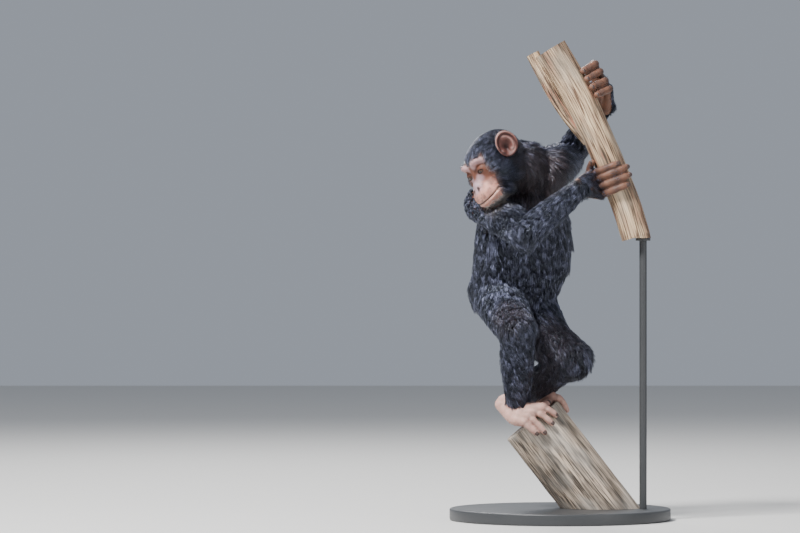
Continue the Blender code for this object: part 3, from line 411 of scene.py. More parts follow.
MOUTH_SPREAD = math.radians(54)
MOUTH_RISE = 0.0045


def bare_head_field(points):
    """Return the field of the head before lids, lips and openings, in the head's own frame."""
    sides = both_sides(points)
    field = ellipsoid_field(points, *SKULL)
    field = blend(field, ellipsoid_field(points, *FOREHEAD), 0.014)
    field = blend(field, ellipsoid_field(sides, *CHEEK), 0.012)
    field = blend(field, ellipsoid_field(sides, *JAW_ANGLE), 0.014)
    field = blend(field, ellipsoid_field(points, *MUZZLE), 0.016)
    field = blend(field, ellipsoid_field(points, *UPPER_LIP), 0.008)
    field = blend(field, ellipsoid_field(points, *CHIN), 0.010)
    field = blend(field, ellipsoid_field(sides, *MID_FACE), 0.010)
    brow_girth = np.interp(np.linspace(0, 3, 9), range(4), BROW_GIRTH)
    field = blend(field, rod_field(sides, smooth_path(BROW_ARCH, 9), brow_girth), 0.0075)
    field = carve(field, ellipsoid_field(sides, *SOCKET), 0.007)
    field = blend(field, rod_field(points, np.array(NOSE_BRIDGE), (0.0050, 0.0046, 0.0050)), 0.009)
    field = blend(field, ellipsoid_field(points, *NOSE), 0.006)
    return blend(field, ellipsoid_field(sides, *NOSE_WING), 0.0035)


def mouth_curve(count):
    """Return points of the skin along the line of the mouth, from corner to corner."""
    shares = np.linspace(-1, 1, count)
    ways = np.column_stack([np.cos(shares * MOUTH_SPREAD), np.sin(shares * MOUTH_SPREAD), np.zeros(count)])
    start = np.array(MOUTH_CENTRE) + np.column_stack([np.zeros((count, 2)), MOUTH_RISE * shares ** 2])
    near, far = np.zeros(count), np.full(count, 0.08)
    for _ in range(30):
        middle = (near + far) / 2
        inside = bare_head_field(start + ways * middle[:, None]) < 0
        near, far = np.where(inside, middle, near), np.where(inside, far, middle)
    return start + ways * near[:, None], ways


MOUTH_POINTS = 17
MOUTH, MOUTH_WAYS = mouth_curve(MOUTH_POINTS)
LIP_GIRTH = 0.0034 - 0.0016 * np.abs(np.linspace(-1, 1, MOUTH_POINTS)) ** 3
LIPS = ((0.0036, 0.0024), (-0.0038, 0.0022))
MOUTH_GAP = 0.0011


def head_field(points):
    """Return the field of the head with lids, lips, nostrils and the line of the mouth."""
    sides = both_sides(points)
    field = bare_head_field(points)
    for rise, depth in LIPS:
        path = MOUTH - MOUTH_WAYS * depth + (0.0, 0.0, rise)
        field = blend(field, rod_field(points, path, LIP_GIRTH), 0.004)
    eye = np.array(EYE_PLACE)
    field = blend(field, np.linalg.norm(sides - eye, axis=1) - EYE_RADIUS - LID_WALL, 0.006)
    field = carve(field, ellipsoid_field(sides, eye + (EYE_RADIUS, 0.0004, -0.0004), LID_OPENING), 0.0020)
    field = carve(field, rod_field(sides, np.array(NOSTRIL), (0.0027, 0.0026, 0.0014)), 0.0014)
    gap = rod_field(points, MOUTH + 0.0010 * MOUTH_WAYS, np.full(MOUTH_POINTS, MOUTH_GAP))
    return carve(field, gap, 0.0030)


print("middle of the mouth:", MOUTH[MOUTH_POINTS // 2].round(4))

# %% The field of the whole animal
HEAD_REACH = 0.125


def flesh_fields(points):
    """Return the field of each part of the animal."""
    fields = {"torso": torso_field(points)}
    for name, rods in RODS.items():
        fields[name] = np.min([rod_field(points, path, radii) for path, radii in rods], axis=0)
    head_points = world_to_head(points)
    near = np.linalg.norm(head_points, axis=1) < HEAD_REACH
    fields["head"] = np.full(len(points), FAR)
    fields["head"][near] = head_field(head_points[near])
    return fields


def flesh_field(points):
    """Return the field of all the flesh, joined with fillets."""
    fields = flesh_fields(points)
    field = blend(fields["torso"], fields["neck"], 0.020)
    for side in ("right", "left"):
        arm = blend(fields["upper_arm_" + side], fields["forearm_" + side], 0.010)
        palm = blend(arm, fields["palm_" + side], 0.008)
        arm = blend(palm, fields["fingers_" + side], 0.0035)
        leg = blend(fields["thigh_" + side], fields["shank_" + side], 0.012)
        sole = blend(leg, fields["sole_" + side], 0.008)
        leg = blend(sole, fields["toes_" + side], 0.0035)
        field = blend(field, arm, 0.012 if side == "right" else 0.018)
        field = blend(field, leg, 0.018)
    return np.minimum(blend(field, fields["head"] + 0.004, 0.012), fields["head"])


def field_slope(points, step=0.0002):
    """Return the field and its slope at each point."""
    here = flesh_field(points)
    slope = np.column_stack([(flesh_field(points + step * axis) - here) / step for axis in np.eye(3)])
    return here, slope


print("field at the chest's centre:", round(float(flesh_field(np.array([[-0.07, 0.03, 0.58]]))[0]), 4))

# %% [markdown]
# From rods to one skin
#
# Rods, the torso and the head are first made as rough closed meshes. A coarse voxel remesh fuses
# them, and each point is moved onto the field, which gives the fillets. A fine remesh follows. The
# body under the coat needs few faces, so it is decimated, while face, hands and feet keep theirs,
# and the faces round eyes, nose and mouth are split for lids, lips and nostrils. The ears are
# thin cups, which a voxel remesh would tear, so they are swept on their own and united last.

# %% Rough closed meshes
def ring_frame(direction):
    """Return two axes square to a direction."""
    helper = np.array([0.0, 0.0, 1.0]) if abs(direction[2]) < 0.85 else np.array([1.0, 0.0, 0.0])
    first = unit(np.cross(direction, helper))
    return first, np.cross(direction, first)


def skin_rings(rings):
    """Return points and faces of a closed body through rings of equal count."""
    count = len(rings[0])
    points = [point for ring in rings for point in ring]
    faces = []
    for level in range(len(rings) - 1):
        for k in range(count):
            a, b = level * count + k, level * count + (k + 1) % count
            faces.append((a, b, b + count, a + count))
    faces.append(tuple(range(count - 1, -1, -1)))
    faces.append(tuple(range((len(rings) - 1) * count, len(rings) * count)))
    return points, faces


def rod_mesh(path, radii, sides=12):
    """Return points and faces of a rod with rounded ends."""
    runs = unit(np.gradient(path, axis=0))
    rings = []
    first, second = ring_frame(runs[0])
    turns = np.linspace(0, 2 * np.pi, sides, endpoint=False)
    stations = [(path[0] - runs[0] * radii[0] * rise, runs[0], radii[0] * shrink)
                for rise, shrink in ((0.97, 0.25), (0.7, 0.7))]
    stations += list(zip(path, runs, radii))
    stations += [(path[-1] + runs[-1] * radii[-1] * rise, runs[-1], radii[-1] * shrink)
                 for rise, shrink in ((0.7, 0.7), (0.97, 0.25))]
    for centre, run, radius in stations:
        first = unit(first - run * np.dot(first, run))
        second = np.cross(run, first)
        rings.append([centre + radius * (math.cos(t) * first + math.sin(t) * second) for t in turns])
    return skin_rings(rings)


def torso_mesh(sides=40):
    """Return points and faces of the torso."""
    turns = np.linspace(0, 2 * np.pi, sides, endpoint=False)
    rings = []
    for z, x, y, wide, deep in BODY_SECTIONS:
        centre = np.array([x, y, z])
        rings.append([centre + wide * math.cos(t) * CHEST_LEFT + deep * math.sin(t) * -CHEST_FRONT
                      for t in turns])
    return skin_rings(rings)


def ellipsoid_mesh(centre, radii, sides=32, levels=18):
    """Return points and faces of an ellipsoid in the head's axes."""
    rings = []
    for lift in np.linspace(-0.48, 0.48, levels) * np.pi:
        turns = np.linspace(0, 2 * np.pi, sides, endpoint=False)
        local = np.column_stack([np.cos(turns) * np.cos(lift), np.sin(turns) * np.cos(lift),
                                 np.full(sides, math.sin(lift))])
        rings.append(list(head_to_world(np.array(centre) + local * np.array(radii))))
    return skin_rings(rings)


print("faces of the rough torso:", len(torso_mesh()[1]))

# %% The cup of an ear
EAR_PLACE = np.array([-0.0048, 0.0572, 0.0030])
EAR_OUT = (0.42, 0.80, 0.10)
EAR_HEIGHT, EAR_WIDTH, EAR_DEPTH = 0.0268, 0.0208, 0.0110
EAR_WALL = 0.0024
EAR_SIDES, EAR_RINGS = 56, 16


def ear_axes(hand):
    """Return the ear's outward, backward and upward axes in the head's frame; hand is 1 or -1."""
    out = unit(np.array(EAR_OUT) * (1, hand, 1))
    up = unit(np.array([-0.10, 0.10 * hand, 1.0]) - out * np.dot((-0.10, 0.10 * hand, 1.0), out))
    back = unit(np.cross(up, out)) * hand
    return out, back, up


def bump_at(back, up, place, size):
    """Return a round bump of height one at a place of the ear."""
    return np.exp(-((back - place[0]) ** 2 + (up - place[1]) ** 2) / size ** 2)


def ear_fold(back, up):
    """Return how strongly the inner fold of the ear stands at a place of the ear."""
    reach, turn = np.hypot(back, up), np.arctan2(up, back)
    window = smooth_step(turn, -1.25, -0.7) * smooth_step(turn, 2.1, 1.5)
    return np.exp(-((reach - 0.60 + 0.06 * np.cos(turn)) / 0.12) ** 2) * window


def ear_height(back, up):
    """Return how far the inner face of the ear stands out at a place of the ear."""
    reach, turn = np.hypot(back, up), np.arctan2(up, back)
    cup = EAR_DEPTH * reach ** 1.9 * (0.72 + 0.28 * np.cos(turn - 1.0))
    roll = 0.0030 * np.exp(-((reach - 0.88) / 0.07) ** 2) * smooth_step(turn, -1.5, -0.9)
    roll = roll - 0.0022 * np.clip((reach - 0.88) / 0.12, 0, 1) ** 2
    bowl = -0.0055 * bump_at(back, up, (-0.16, -0.14), 0.34)
    knob = 0.0042 * bump_at(back, up, (0.20, -0.46), 0.15)
    flap = 0.0050 * bump_at(back, up, (-0.60, -0.30), 0.18)
    return cup + roll + bowl + knob + flap + 0.0042 * ear_fold(back, up)


def ear_mesh(hand):
    """Return points and faces of one ear: an inner and an outer bowl joined at the rim."""
    out, back, up = ear_axes(hand)
    turns = np.linspace(0, 2 * np.pi, EAR_SIDES, endpoint=False)
    centre = EAR_PLACE * (1, hand, 1)
    girth = 1.0 + 0.07 * np.cos(turns - 1.1) - 0.16 * np.clip(-np.sin(turns - 0.35), 0, 1) ** 2
    rings = []
    inner = np.append(np.linspace(0.04, 0.97, EAR_RINGS), 1.0)
    for wall, shares in ((-1, inner), (1, inner[::-1])):
        for share in shares:
            behind = EAR_WALL * (1.0 - 0.45 * share) if wall < 0 else 0.0
            reach = share * girth * (0.985 if wall > 0 else 1.0)
            flat = np.cos(turns) * reach, np.sin(turns) * reach
            stand = ear_height(np.cos(turns) * share, np.sin(turns) * share) - behind
            local = (centre + np.outer(stand, out) + np.outer(flat[0] * EAR_WIDTH, back)
                     + np.outer(flat[1] * EAR_HEIGHT, up))
            rings.append(list(head_to_world(local)))
    return skin_rings(rings)


print("faces of one ear:", len(ear_mesh(1)[1]))

# %% One skin by voxel remesh, then onto the field
COARSE_VOXEL, FINE_VOXEL = 0.0028, 0.0017


def add_mesh(name, points, faces):
    """Make a mesh object from points and faces."""
    mesh = bpy.data.meshes.new(name)
    mesh.from_pydata([tuple(point) for point in points], [], faces)
    made = bpy.data.objects.new(name, mesh)
    bpy.context.collection.objects.link(made)
    return made


def select_only(thing):
    """Select one object and make it active."""
    bpy.ops.object.select_all(action="DESELECT")
    thing.select_set(True)
    bpy.context.view_layer.objects.active = thing


def read_points(mesh):
    """Return a mesh's points as an array."""
    points = np.empty(len(mesh.vertices) * 3)
    mesh.vertices.foreach_get("co", points)
    return points.reshape(-1, 3)


def face_outwards(thing):
    """Turn every face of a closed mesh outwards."""
    tidy = bmesh.new()
    tidy.from_mesh(thing.data)
    bmesh.ops.recalc_face_normals(tidy, faces=tidy.faces)
    tidy.to_mesh(thing.data)
    tidy.free()


def add_bodies(name, parts):
    """Make one object of several overlapping closed bodies, all facing out."""
    points, faces = [], []
    for part_points, part_faces in parts:
        faces += [tuple(index + len(points) for index in face) for face in part_faces]
        points += list(part_points)
    made = add_mesh(name, points, faces)
    face_outwards(made)
    return made


def apply_all(thing):
    """Apply every modifier of an object."""
    select_only(thing)
    for modifier in list(thing.modifiers):
        bpy.ops.object.modifier_apply(modifier=modifier.name)


def settle_on_field(thing, rounds, hold_start=FAR, hold_end=2 * FAR):
    """Move points onto the field, and leave alone what stands further off than the two limits."""
    points = read_points(thing.data)
    for _ in range(rounds):
        here, slope = field_slope(points)
        steep = np.maximum(np.sum(slope ** 2, axis=1), 0.2)
        keep = np.clip((hold_end - np.abs(here)) / (hold_end - hold_start), 0.0, 1.0)
        points -= slope * (here * keep / steep)[:, None]
    thing.data.vertices.foreach_set("co", points.ravel())
    thing.data.update()


def even_out(thing, size):
    """Fuse overlapping bodies into one closed mesh of even faces."""
    remesh = thing.modifiers.new("even", "REMESH")
    remesh.mode = "VOXEL"
    remesh.voxel_size = size
    apply_all(thing)


body_parts = [torso_mesh(), ellipsoid_mesh((-0.006, 0.0, 0.001), (0.055, 0.047, 0.0425)),
              ellipsoid_mesh((0.046, 0.0, -0.038), (0.036, 0.028, 0.026)),
              ellipsoid_mesh((0.012, 0.0, -0.016), (0.042, 0.044, 0.036)),
              ellipsoid_mesh((0.040, 0.0, 0.018), (0.016, 0.034, 0.010))]
body_parts += [rod_mesh(path, radii) for rods in RODS.values() for path, radii in rods]
skin = add_bodies("skin", body_parts)
even_out(skin, COARSE_VOXEL)
settle_on_field(skin, 3)
even_out(skin, COARSE_VOXEL)
settle_on_field(skin, 2)
even_out(skin, FINE_VOXEL)
print("skin:", len(skin.data.vertices), "points")

# %% Thin out the haired body
HAIRED_TRIANGLES = 52000


def thin_out(thing, keep, wanted):
    """Decimate the haired body to a number of triangles and keep the points of face, hands and feet."""
    group = thing.vertex_groups.new(name="haired")
    group.add([int(index) for index in np.flatnonzero(~keep)], 1.0, "REPLACE")
    fewer = thing.modifiers.new("fewer", "DECIMATE")
    fewer.ratio = (2 * keep.sum() + wanted) / (2 * len(keep))
    fewer.vertex_group = "haired"
    apply_all(thing)


def fine_places(points):
    """Return which points of the skin keep their small faces."""
    fields = flesh_fields(points)
    bare_ends = [fields[part + side] for side in ("_right", "_left")
                 for part in ("palm", "fingers", "sole", "toes")]
    local = world_to_head(points)
    face = (fields["head"] < 0.003) & (local[:, 0] > 0.022)
    return face | (np.min(bare_ends, axis=0) < 0.002)


settle_on_field(skin, 2)
thin_out(skin, fine_places(read_points(skin.data)), HAIRED_TRIANGLES)
print("skin after thinning:", len(skin.data.vertices), "points")

# %% Finer faces round eyes, nose and mouth
FACE_PLACES = ((EYE_PLACE, 0.0135), ((0.0690, 0.006, -0.0245), 0.0110), ((0.078, 0.0, -0.051), 0.0120),
               ((0.070, 0.018, -0.050), 0.0120))


def refine(thing, wanted):
    """Split the faces whose points are wanted, by the subdivide operator."""
    select_only(thing)
    mesh = thing.data
    mesh.vertices.foreach_set("select", wanted)
    loops = np.empty(len(mesh.loops), dtype=np.int32)
    mesh.loops.foreach_get("vertex_index", loops)
    sizes = np.empty(len(mesh.polygons), dtype=np.int32)
    mesh.polygons.foreach_get("loop_total", sizes)
    starts = np.concatenate([[0], np.cumsum(sizes)[:-1]])
    mesh.polygons.foreach_set("select", np.logical_and.reduceat(wanted[loops], starts))
    mesh.edges.foreach_set("select", np.zeros(len(mesh.edges), dtype=bool))
    bpy.ops.object.mode_set(mode="EDIT")
    bpy.ops.mesh.select_mode(type="FACE")
    bpy.ops.mesh.subdivide(number_cuts=1, smoothness=0)
    bpy.ops.object.mode_set(mode="OBJECT")


def near_features(points, margin):
    """Return which points lie near the eyes, nose and mouth."""
    sides = both_sides(world_to_head(points))
    near = [np.linalg.norm(sides - np.array(place), axis=1) < reach + margin for place, reach in FACE_PLACES]
    return np.any(near, axis=0)


def soften(thing, chosen, rounds):
    """Even out chosen points by a few rounds of the smooth operator.

    A change of select mode can drop the choice, so it is made again after it.
    """
    select_only(thing)
    thing.data.vertices.foreach_set("select", chosen)
    bpy.ops.object.mode_set(mode="EDIT")
    bpy.ops.mesh.select_mode(type="VERT")
    bpy.ops.object.mode_set(mode="OBJECT")
    thing.data.vertices.foreach_set("select", chosen)
    bpy.ops.object.mode_set(mode="EDIT")
    bpy.ops.mesh.vertices_smooth(factor=0.5, repeat=rounds)
    bpy.ops.object.mode_set(mode="OBJECT")


refine(skin, near_features(read_points(skin.data), 0.002))
refine(skin, near_features(read_points(skin.data), -0.002))
soften(skin, near_features(read_points(skin.data), 0.0), 2)
settle_on_field(skin, 2)
print("skin with fine face:", len(skin.data.vertices), "points")

# %% Unite the ears with the head
def unite(thing, other):
    """Fuse another closed body into an object by a Boolean union."""
    union = thing.modifiers.new("unite", "BOOLEAN")
    union.operation, union.solver = "UNION", "MANIFOLD"
    union.object = other
    apply_all(thing)
    bpy.data.objects.remove(other)


for hand in (1, -1):
    unite(skin, add_bodies("ear", [ear_mesh(hand)]))
print("skin with ears:", len(skin.data.vertices), "points")

# %% [markdown]
# Which part of the body each point belongs to
#
# Coat and colour change along the body, and so do the lie and length of the hair. Each point
# gets a share of every part, by how near that part's own field comes, so that nothing changes
# abruptly. The bare face, ears, hands and feet are told apart by simple places in their own frames.

# %% Shares of the parts
SHARE_WIDTH = 0.010
PARTS = ["torso", "neck", "head"]
PARTS += [part + side for side in ("_right", "_left")
          for part in ("upper_arm", "forearm", "palm", "fingers", "thigh", "shank", "sole", "toes")]


def part_shares(points):
    """Return each point's share of each part, in the order of the list of parts."""
    fields = flesh_fields(points)
    table = np.column_stack([fields[name] for name in PARTS])
    weight = np.exp(-(table - table.min(axis=1, keepdims=True)) / SHARE_WIDTH * 3.0)
    return weight / weight.sum(axis=1, keepdims=True)


def face_mask(points):
    """Return 1 on the bare face and 0 on the haired head."""
    local = world_to_head(points)
    beside = 0.35 * np.abs(local[:, 1]) + 0.007 * smooth_step(local[:, 2], -0.022, -0.010)
    ahead = smooth_step(local[:, 0] + 0.25 * local[:, 2] - beside, 0.0240, 0.0325)
    peak = 0.008 * smooth_step(np.abs(local[:, 1]), 0.0075, 0.0035)
    below = smooth_step(local[:, 2] + peak, 0.0245, 0.0190) * smooth_step(local[:, 2], -0.0640, -0.0575)
    near = np.linalg.norm(local, axis=1) < HEAD_REACH
    on_head = np.zeros(len(points))
    on_head[near] = smooth_step(head_field(local[near]), 0.006, 0.003)
    return ahead * below * on_head


def ear_mask(points):
    """Return 1 on the cups of the ears."""
    local = world_to_head(points)
    sides = both_sides(local)
    away = np.linalg.norm((sides - EAR_PLACE) / (0.030, 0.030, 0.034), axis=1)
    near = away < 1.15
    off_head = np.zeros(len(points))
    off_head[near] = smooth_step(bare_head_field(local[near]), 0.0004, 0.0018)
    return smooth_step(away, 1.15, 1.0) * np.maximum(off_head, smooth_step(sides[:, 1], 0.0485, 0.0520))


print("parts:", len(PARTS))

# %% [markdown]
# The coat
#
# Real hair can't be exported, so the coat is mesh. One tuft is a thin blade of three sides that
# starts just under the skin, bends along the lie of the coat and ends in a point. All tufts are
# made at once as arrays: roots are scattered over the faces of the skin by area, the lie is a
# direction in space laid flat on the skin, and points that would dip into the body are lifted.
# Real hair gathers in clumps with dark gaps between them, so each tip leans to a neighbour's.

# %% Lie, length and density of the coat by part
LIE = {
    "torso": (0.06, 0.0, -1.0), "neck": (0.30, 0.40, -1.0), "head": (0.15, 0.35, -1.0),
    "upper_arm_right": (0.52, -0.62, -0.62), "upper_arm_left": (0.15, 0.45, -0.88),
    "forearm_right": (-0.55, -0.30, -0.78), "forearm_left": (-0.35, 0.55, -0.75),
    "palm_right": (0.8, 0.3, -0.4), "palm_left": (0.3, -0.5, 0.4),
    "thigh_right": (0.15, -0.35, -0.92), "thigh_left": (0.45, -0.40, -0.80),
    "shank_right": (0.40, 0.10, -0.9), "shank_left": (-0.45, 0.45, -0.77),
    "sole_right": (0.2, -0.3, -0.9), "sole_left": (0.3, 0.2, -0.9),
    "fingers_right": (0.8, 0.3, -0.4), "fingers_left": (0.3, -0.5, 0.4),
    "toes_right": (0.3, -0.3, -0.9), "toes_left": (0.3, -0.3, -0.9),
}
LENGTH = {"torso": 0.028, "neck": 0.022, "head": 0.011, "upper_arm": 0.023, "upper_arm_left": 0.034,
          "forearm": 0.025, "palm": 0.011, "fingers": 0.008, "thigh": 0.023, "thigh_left": 0.028,
          "shank": 0.023, "shank_left": 0.026, "sole": 0.010, "toes": 0.006}
DENSITY = {"torso": 0.31, "neck": 0.39, "head": 1.40, "upper_arm": 0.36, "forearm": 0.43,
           "palm": 0.90, "fingers": 0.0, "thigh": 0.34, "shank": 0.43, "sole": 0.60, "toes": 0.0}


def by_part(table):
    """Return a table's values in the order of the parts, a side's own value first."""
    return np.array([table.get(name, table.get(name.rsplit("_", 1)[0])) for name in PARTS], dtype=float)


print("longest hair:", max(LENGTH.values()) * 1000, "mm")

# %% Scatter roots over the skin
SEED = 4
chance = np.random.default_rng(SEED)
EXTRA_BELOW = 0.0008


def triangles_of(thing):
    """Return the three corner points of each triangle of a mesh object."""
    mesh = thing.data
    mesh.calc_loop_triangles()
    corners = np.empty(len(mesh.loop_triangles) * 3, dtype=np.int32)
    mesh.loop_triangles.foreach_get("vertices", corners)
    return read_points(mesh)[corners.reshape(-1, 3)]


def scatter_roots(thing, per_mm2_at):
    """Return points spread over a mesh by a changing density, and the facing at each."""
    corners = triangles_of(thing)
    middle = corners.mean(axis=1)
    cross = np.cross(corners[:, 1] - corners[:, 0], corners[:, 2] - corners[:, 0])
    area = np.linalg.norm(cross, axis=1) / 2
    wanted = area * 1e6 * per_mm2_at(middle)
    count = np.floor(wanted + chance.random(len(wanted))).astype(int)
    face = np.repeat(np.arange(len(count)), count)
    first, second = chance.random((2, len(face)))
    fold = first + second > 1
    first[fold], second[fold] = 1 - first[fold], 1 - second[fold]
    a, b, c = corners[face, 0], corners[face, 1], corners[face, 2]
    roots = a + first[:, None] * (b - a) + second[:, None] * (c - a)
    return roots, unit(cross[face])


def outer_side(points):
    """Return 1 on the backs of hands and the tops of feet, and 0 on palms and soles."""
    slope = unit(field_slope(points)[1])
    trunk_centre = np.column_stack([np.interp(points[:, 2], TRUNK_AXIS[:, 0], TRUNK_AXIS[:, 1]),
                                    np.full(len(points), TRUNK_Y), points[:, 2]])
    high = points[:, 2] > 0.40
    away = np.where(high[:, None], unit(points - trunk_centre), unit(np.array([-0.3, 0.1, 1.0])))
    right_hand = np.linalg.norm(points - np.array(WRIST["right"]), axis=1) < 0.065
    away[right_hand] = unit(np.array([-0.15, -1.0, 0.0]))
    return smooth_step(np.sum(slope * away, axis=1), 0.05, 0.45)


END_OF_HAIR = {"palm_right": (0.95, 1.20), "palm_left": (0.75, 1.0), "sole_right": (0.30, 0.55),
               "sole_left": (0.30, 0.55)}
HEEL = np.array([-0.110, -0.014, 0.219])


def bare_end(points):
    """Return 1 past the knuckles and over the front of the feet, where only bare skin shows."""
    bare = np.zeros(len(points))
    for name, (start, end) in ENDS.items():
        near = np.linalg.norm(points - end, axis=1) < 0.11
        along = (points[near] - start) @ (end - start) / np.dot(end - start, end - start)
        bare[near] = np.maximum(bare[near], smooth_step(along, *END_OF_HAIR[name]))
    return bare


def coat_density(points):
    """Return how many tufts a square millimetre of skin carries."""
    shares = part_shares(points)
    ends = sum(shares[:, PARTS.index(part + side)] for side in ("_right", "_left")
               for part in ("palm", "sole", "fingers", "toes"))
    near_ends = ends > 0.05
    hidden = np.zeros(len(points))
    hidden[near_ends] = 1 - (1 - bare_end(points[near_ends])) * outer_side(points[near_ends])
    density = (shares @ by_part(DENSITY)) * (1 - smooth_step(ends, 0.1, 0.5) * hidden)
    heel = smooth_step(np.linalg.norm(points - HEEL, axis=1), 0.026, 0.020)
    local = world_to_head(points)
    stubble = 0.10 * smooth_step(local[:, 2], -0.016, -0.024) * face_mask(points)
    return (density * (1 - face_mask(points)) + stubble) * (1 - ear_mask(points)) * (1 - heel)


roots, root_normals = scatter_roots(skin, coat_density)
print("tufts:", len(roots))

# %% Bend each tuft along the lie, gather it into its clump and keep it outside the body
# Long tufts have three stations and short ones two, each station with its share of the girth
STATIONS = {"long": (0.0, 0.5, 1.0), "short": (0.0, 1.0)}
TAPER = {"long": (0.95, 0.80, 0.0), "short": (1.0, 0.0)}
GATHER = {"long": 0.62, "short": 0.35}
CLEAR_OF_SKIN = 0.0006


def tuft_lines(kind, roots, normals, lies, lengths, lift, curl, clump):
    """Return the centre line of each tuft at every station, and its sideways direction."""
    flat = unit(lies - normals * np.sum(lies * normals, axis=1, keepdims=True))
    side = np.cross(normals, flat)

    def place_at(station):
        """Return the places at a station of the free tufts, before they gather."""
        rise = lift * station - 0.55 * lift * station ** 2
        way = flat * (station * np.cos(lift))[:, None] + normals * rise[:, None]
        return roots + lengths[:, None] * (way + side * (curl * station ** 2)[:, None])

    pull = place_at(1.0)[clump] - place_at(1.0)
    lines = [roots - normals * EXTRA_BELOW]
    for station in STATIONS[kind][1:]:
        line = place_at(station) + GATHER[kind] * station ** 2 * pull
        here, slope = field_slope(line)
        short = np.clip(CLEAR_OF_SKIN + 0.0016 * station - here, 0.0, None)
        lines.append(line + unit(slope) * short[:, None])
    return np.stack(lines, axis=1), side


def nearest_clump(points, every):
    """Return for each point the number of the nearest among a few of them, picked by chance."""
    picked = chance.choice(len(points), max(1, len(points) // every), replace=False)
    tree = KDTree(len(picked))
    for number in picked:
        tree.insert(points[number], int(number))
    tree.balance()
    return np.array([tree.find(point)[1] for point in points])


def lie_at(points, shares):
    """Return the lie of the coat: by part, and on the head away from the middle of the face."""
    lies = shares @ unit([LIE[name] for name in PARTS])
    from_face = world_to_head(points) - FACE_MIDDLE
    on_head = shares[:, [PARTS.index("head")]]
    return lies * (1 - on_head) + unit(from_face @ HEAD_AXES) * on_head


def ruff_mask(points):
    """Return 1 on the cheeks and under the jaw, where the hair of the head is longest."""
    local = world_to_head(points)
    low = smooth_step(local[:, 2], -0.004, -0.028)
    return low * (np.linalg.norm(local, axis=1) < HEAD_REACH)


CHIN_MIDDLE = (0.060, 0.0, -0.066)


def chin_mask(points):
    """Return 1 on the chin, where the hair is short and white."""
    away = np.linalg.norm((world_to_head(points) - CHIN_MIDDLE) / (1, 1, 0.8), axis=1)
    return part_shares(points)[:, PARTS.index("head")] * smooth_step(away, 0.036, 0.024)


def shoulder_mask(points):
    """Return 1 on the right shoulder, where the head presses the hair flat."""
    return smooth_step(np.linalg.norm(points - np.array(SHOULDER["right"]), axis=1), 0.075, 0.045)


FACE_MIDDLE = np.array([0.060, 0.0, -0.012])
shares = part_shares(roots)
lies = unit(lie_at(roots, shares)) + chance.normal(0, 0.16, (len(roots), 3))
lengths = shares @ by_part(LENGTH) * chance.uniform(0.7, 1.2, len(roots))
lengths *= 1 + 0.9 * ruff_mask(roots)
lengths *= (1 - 0.60 * chin_mask(roots)) * (1 - 0.70 * shoulder_mask(roots)) * (1 - 0.72 * face_mask(roots))
lift = np.radians(chance.uniform(10, 30, len(roots))) * (1 + 0.4 * ruff_mask(roots))
curl = chance.normal(0, 0.10, len(roots))
SHORT_PARTS = ["head"] + [part + side for part in ("palm", "fingers", "sole") for side in ("_right", "_left")]
is_short = sum(shares[:, PARTS.index(name)] for name in SHORT_PARTS) > 0.5
print("long tufts:", int((~is_short).sum()), "short tufts:", int(is_short.sum()))

# %% Turn lines into thin blades with a map of the skin
BAKE_PATCH = 0.0015


def blade_points(kind, lines, sides, widths):
    """Return the points of each blade: a ring of three at every station but the last, and a tip."""
    runs = unit(np.gradient(lines, axis=1))
    across = unit(sides[:, None, :] - runs * np.sum(sides[:, None, :] * runs, axis=2, keepdims=True))
    over = np.cross(across, runs)
    girth = widths[:, None] * np.array(TAPER[kind])[None, :]
    half = across * girth[..., None] * 0.5
    ridge = over * girth[..., None] * 0.42
    rings = np.stack([lines - half, lines + half, lines - ridge], axis=2)[:, :-1]
    return np.concatenate([rings.reshape(len(lines), -1, 3), lines[:, -1:]], axis=1)


def blade_faces(stations):
    """Return the triangles of one closed blade."""
    faces = [(0, 2, 1)]
    for level in range(stations - 2):
        for k in range(3):
            a, b = level * 3 + k, level * 3 + (k + 1) % 3
            faces += [(a, b, b + 3), (a, b + 3, a + 3)]
    tip = (stations - 1) * 3
    return np.array(faces + [(tip - 3 + k, tip - 3 + (k + 1) % 3, tip) for k in range(3)])


def blade_mesh(name, kind, lines, sides, widths, places, marks):
    """Make tapered blades of three sides along lines, with the two maps and the markings."""
    count, stations = lines.shape[:2]
    points = blade_points(kind, lines, sides, widths)
    per = points.shape[1]
    corners = (blade_faces(stations)[None] + (np.arange(count) * per)[:, None, None]).reshape(-1, 3)
    mesh = bpy.data.meshes.new(name)
    mesh.vertices.add(count * per)
    mesh.vertices.foreach_set("co", points.ravel())
    mesh.loops.add(corners.size)
    mesh.loops.foreach_set("vertex_index", corners.ravel().astype(np.int32))
    mesh.polygons.add(len(corners))
    mesh.polygons.foreach_set("loop_start", np.arange(0, corners.size, 3, dtype=np.int32))
    mesh.update(calc_edges=True)
    place = np.array([(aside, station) for station in STATIONS[kind][:-1] for aside in (-1.0, 1.0, 0.0)]
                     + [(0.0, 1.0)])
    patch = places[:, None, :] + place[None] * BAKE_PATCH
    bake = mesh.uv_layers.new(name="OFBake")
    bake.data.foreach_set("uv", patch.reshape(-1, 2)[corners.ravel()].ravel())
    strand = mesh.uv_layers.new(name="strand")
    fibre = np.repeat(chance.random(count), per)[:, None] * (7.0, 0.0) + np.tile(place, (count, 1))
    strand.data.foreach_set("uv", fibre[corners.ravel()].ravel())
    tone = mesh.color_attributes.new(name="marking", type="FLOAT_COLOR", domain="POINT")
    tone.data.foreach_set("color", np.repeat(marks, per, axis=0).ravel())
    made = bpy.data.objects.new(name, mesh)
    bpy.context.collection.objects.link(made)
    return made


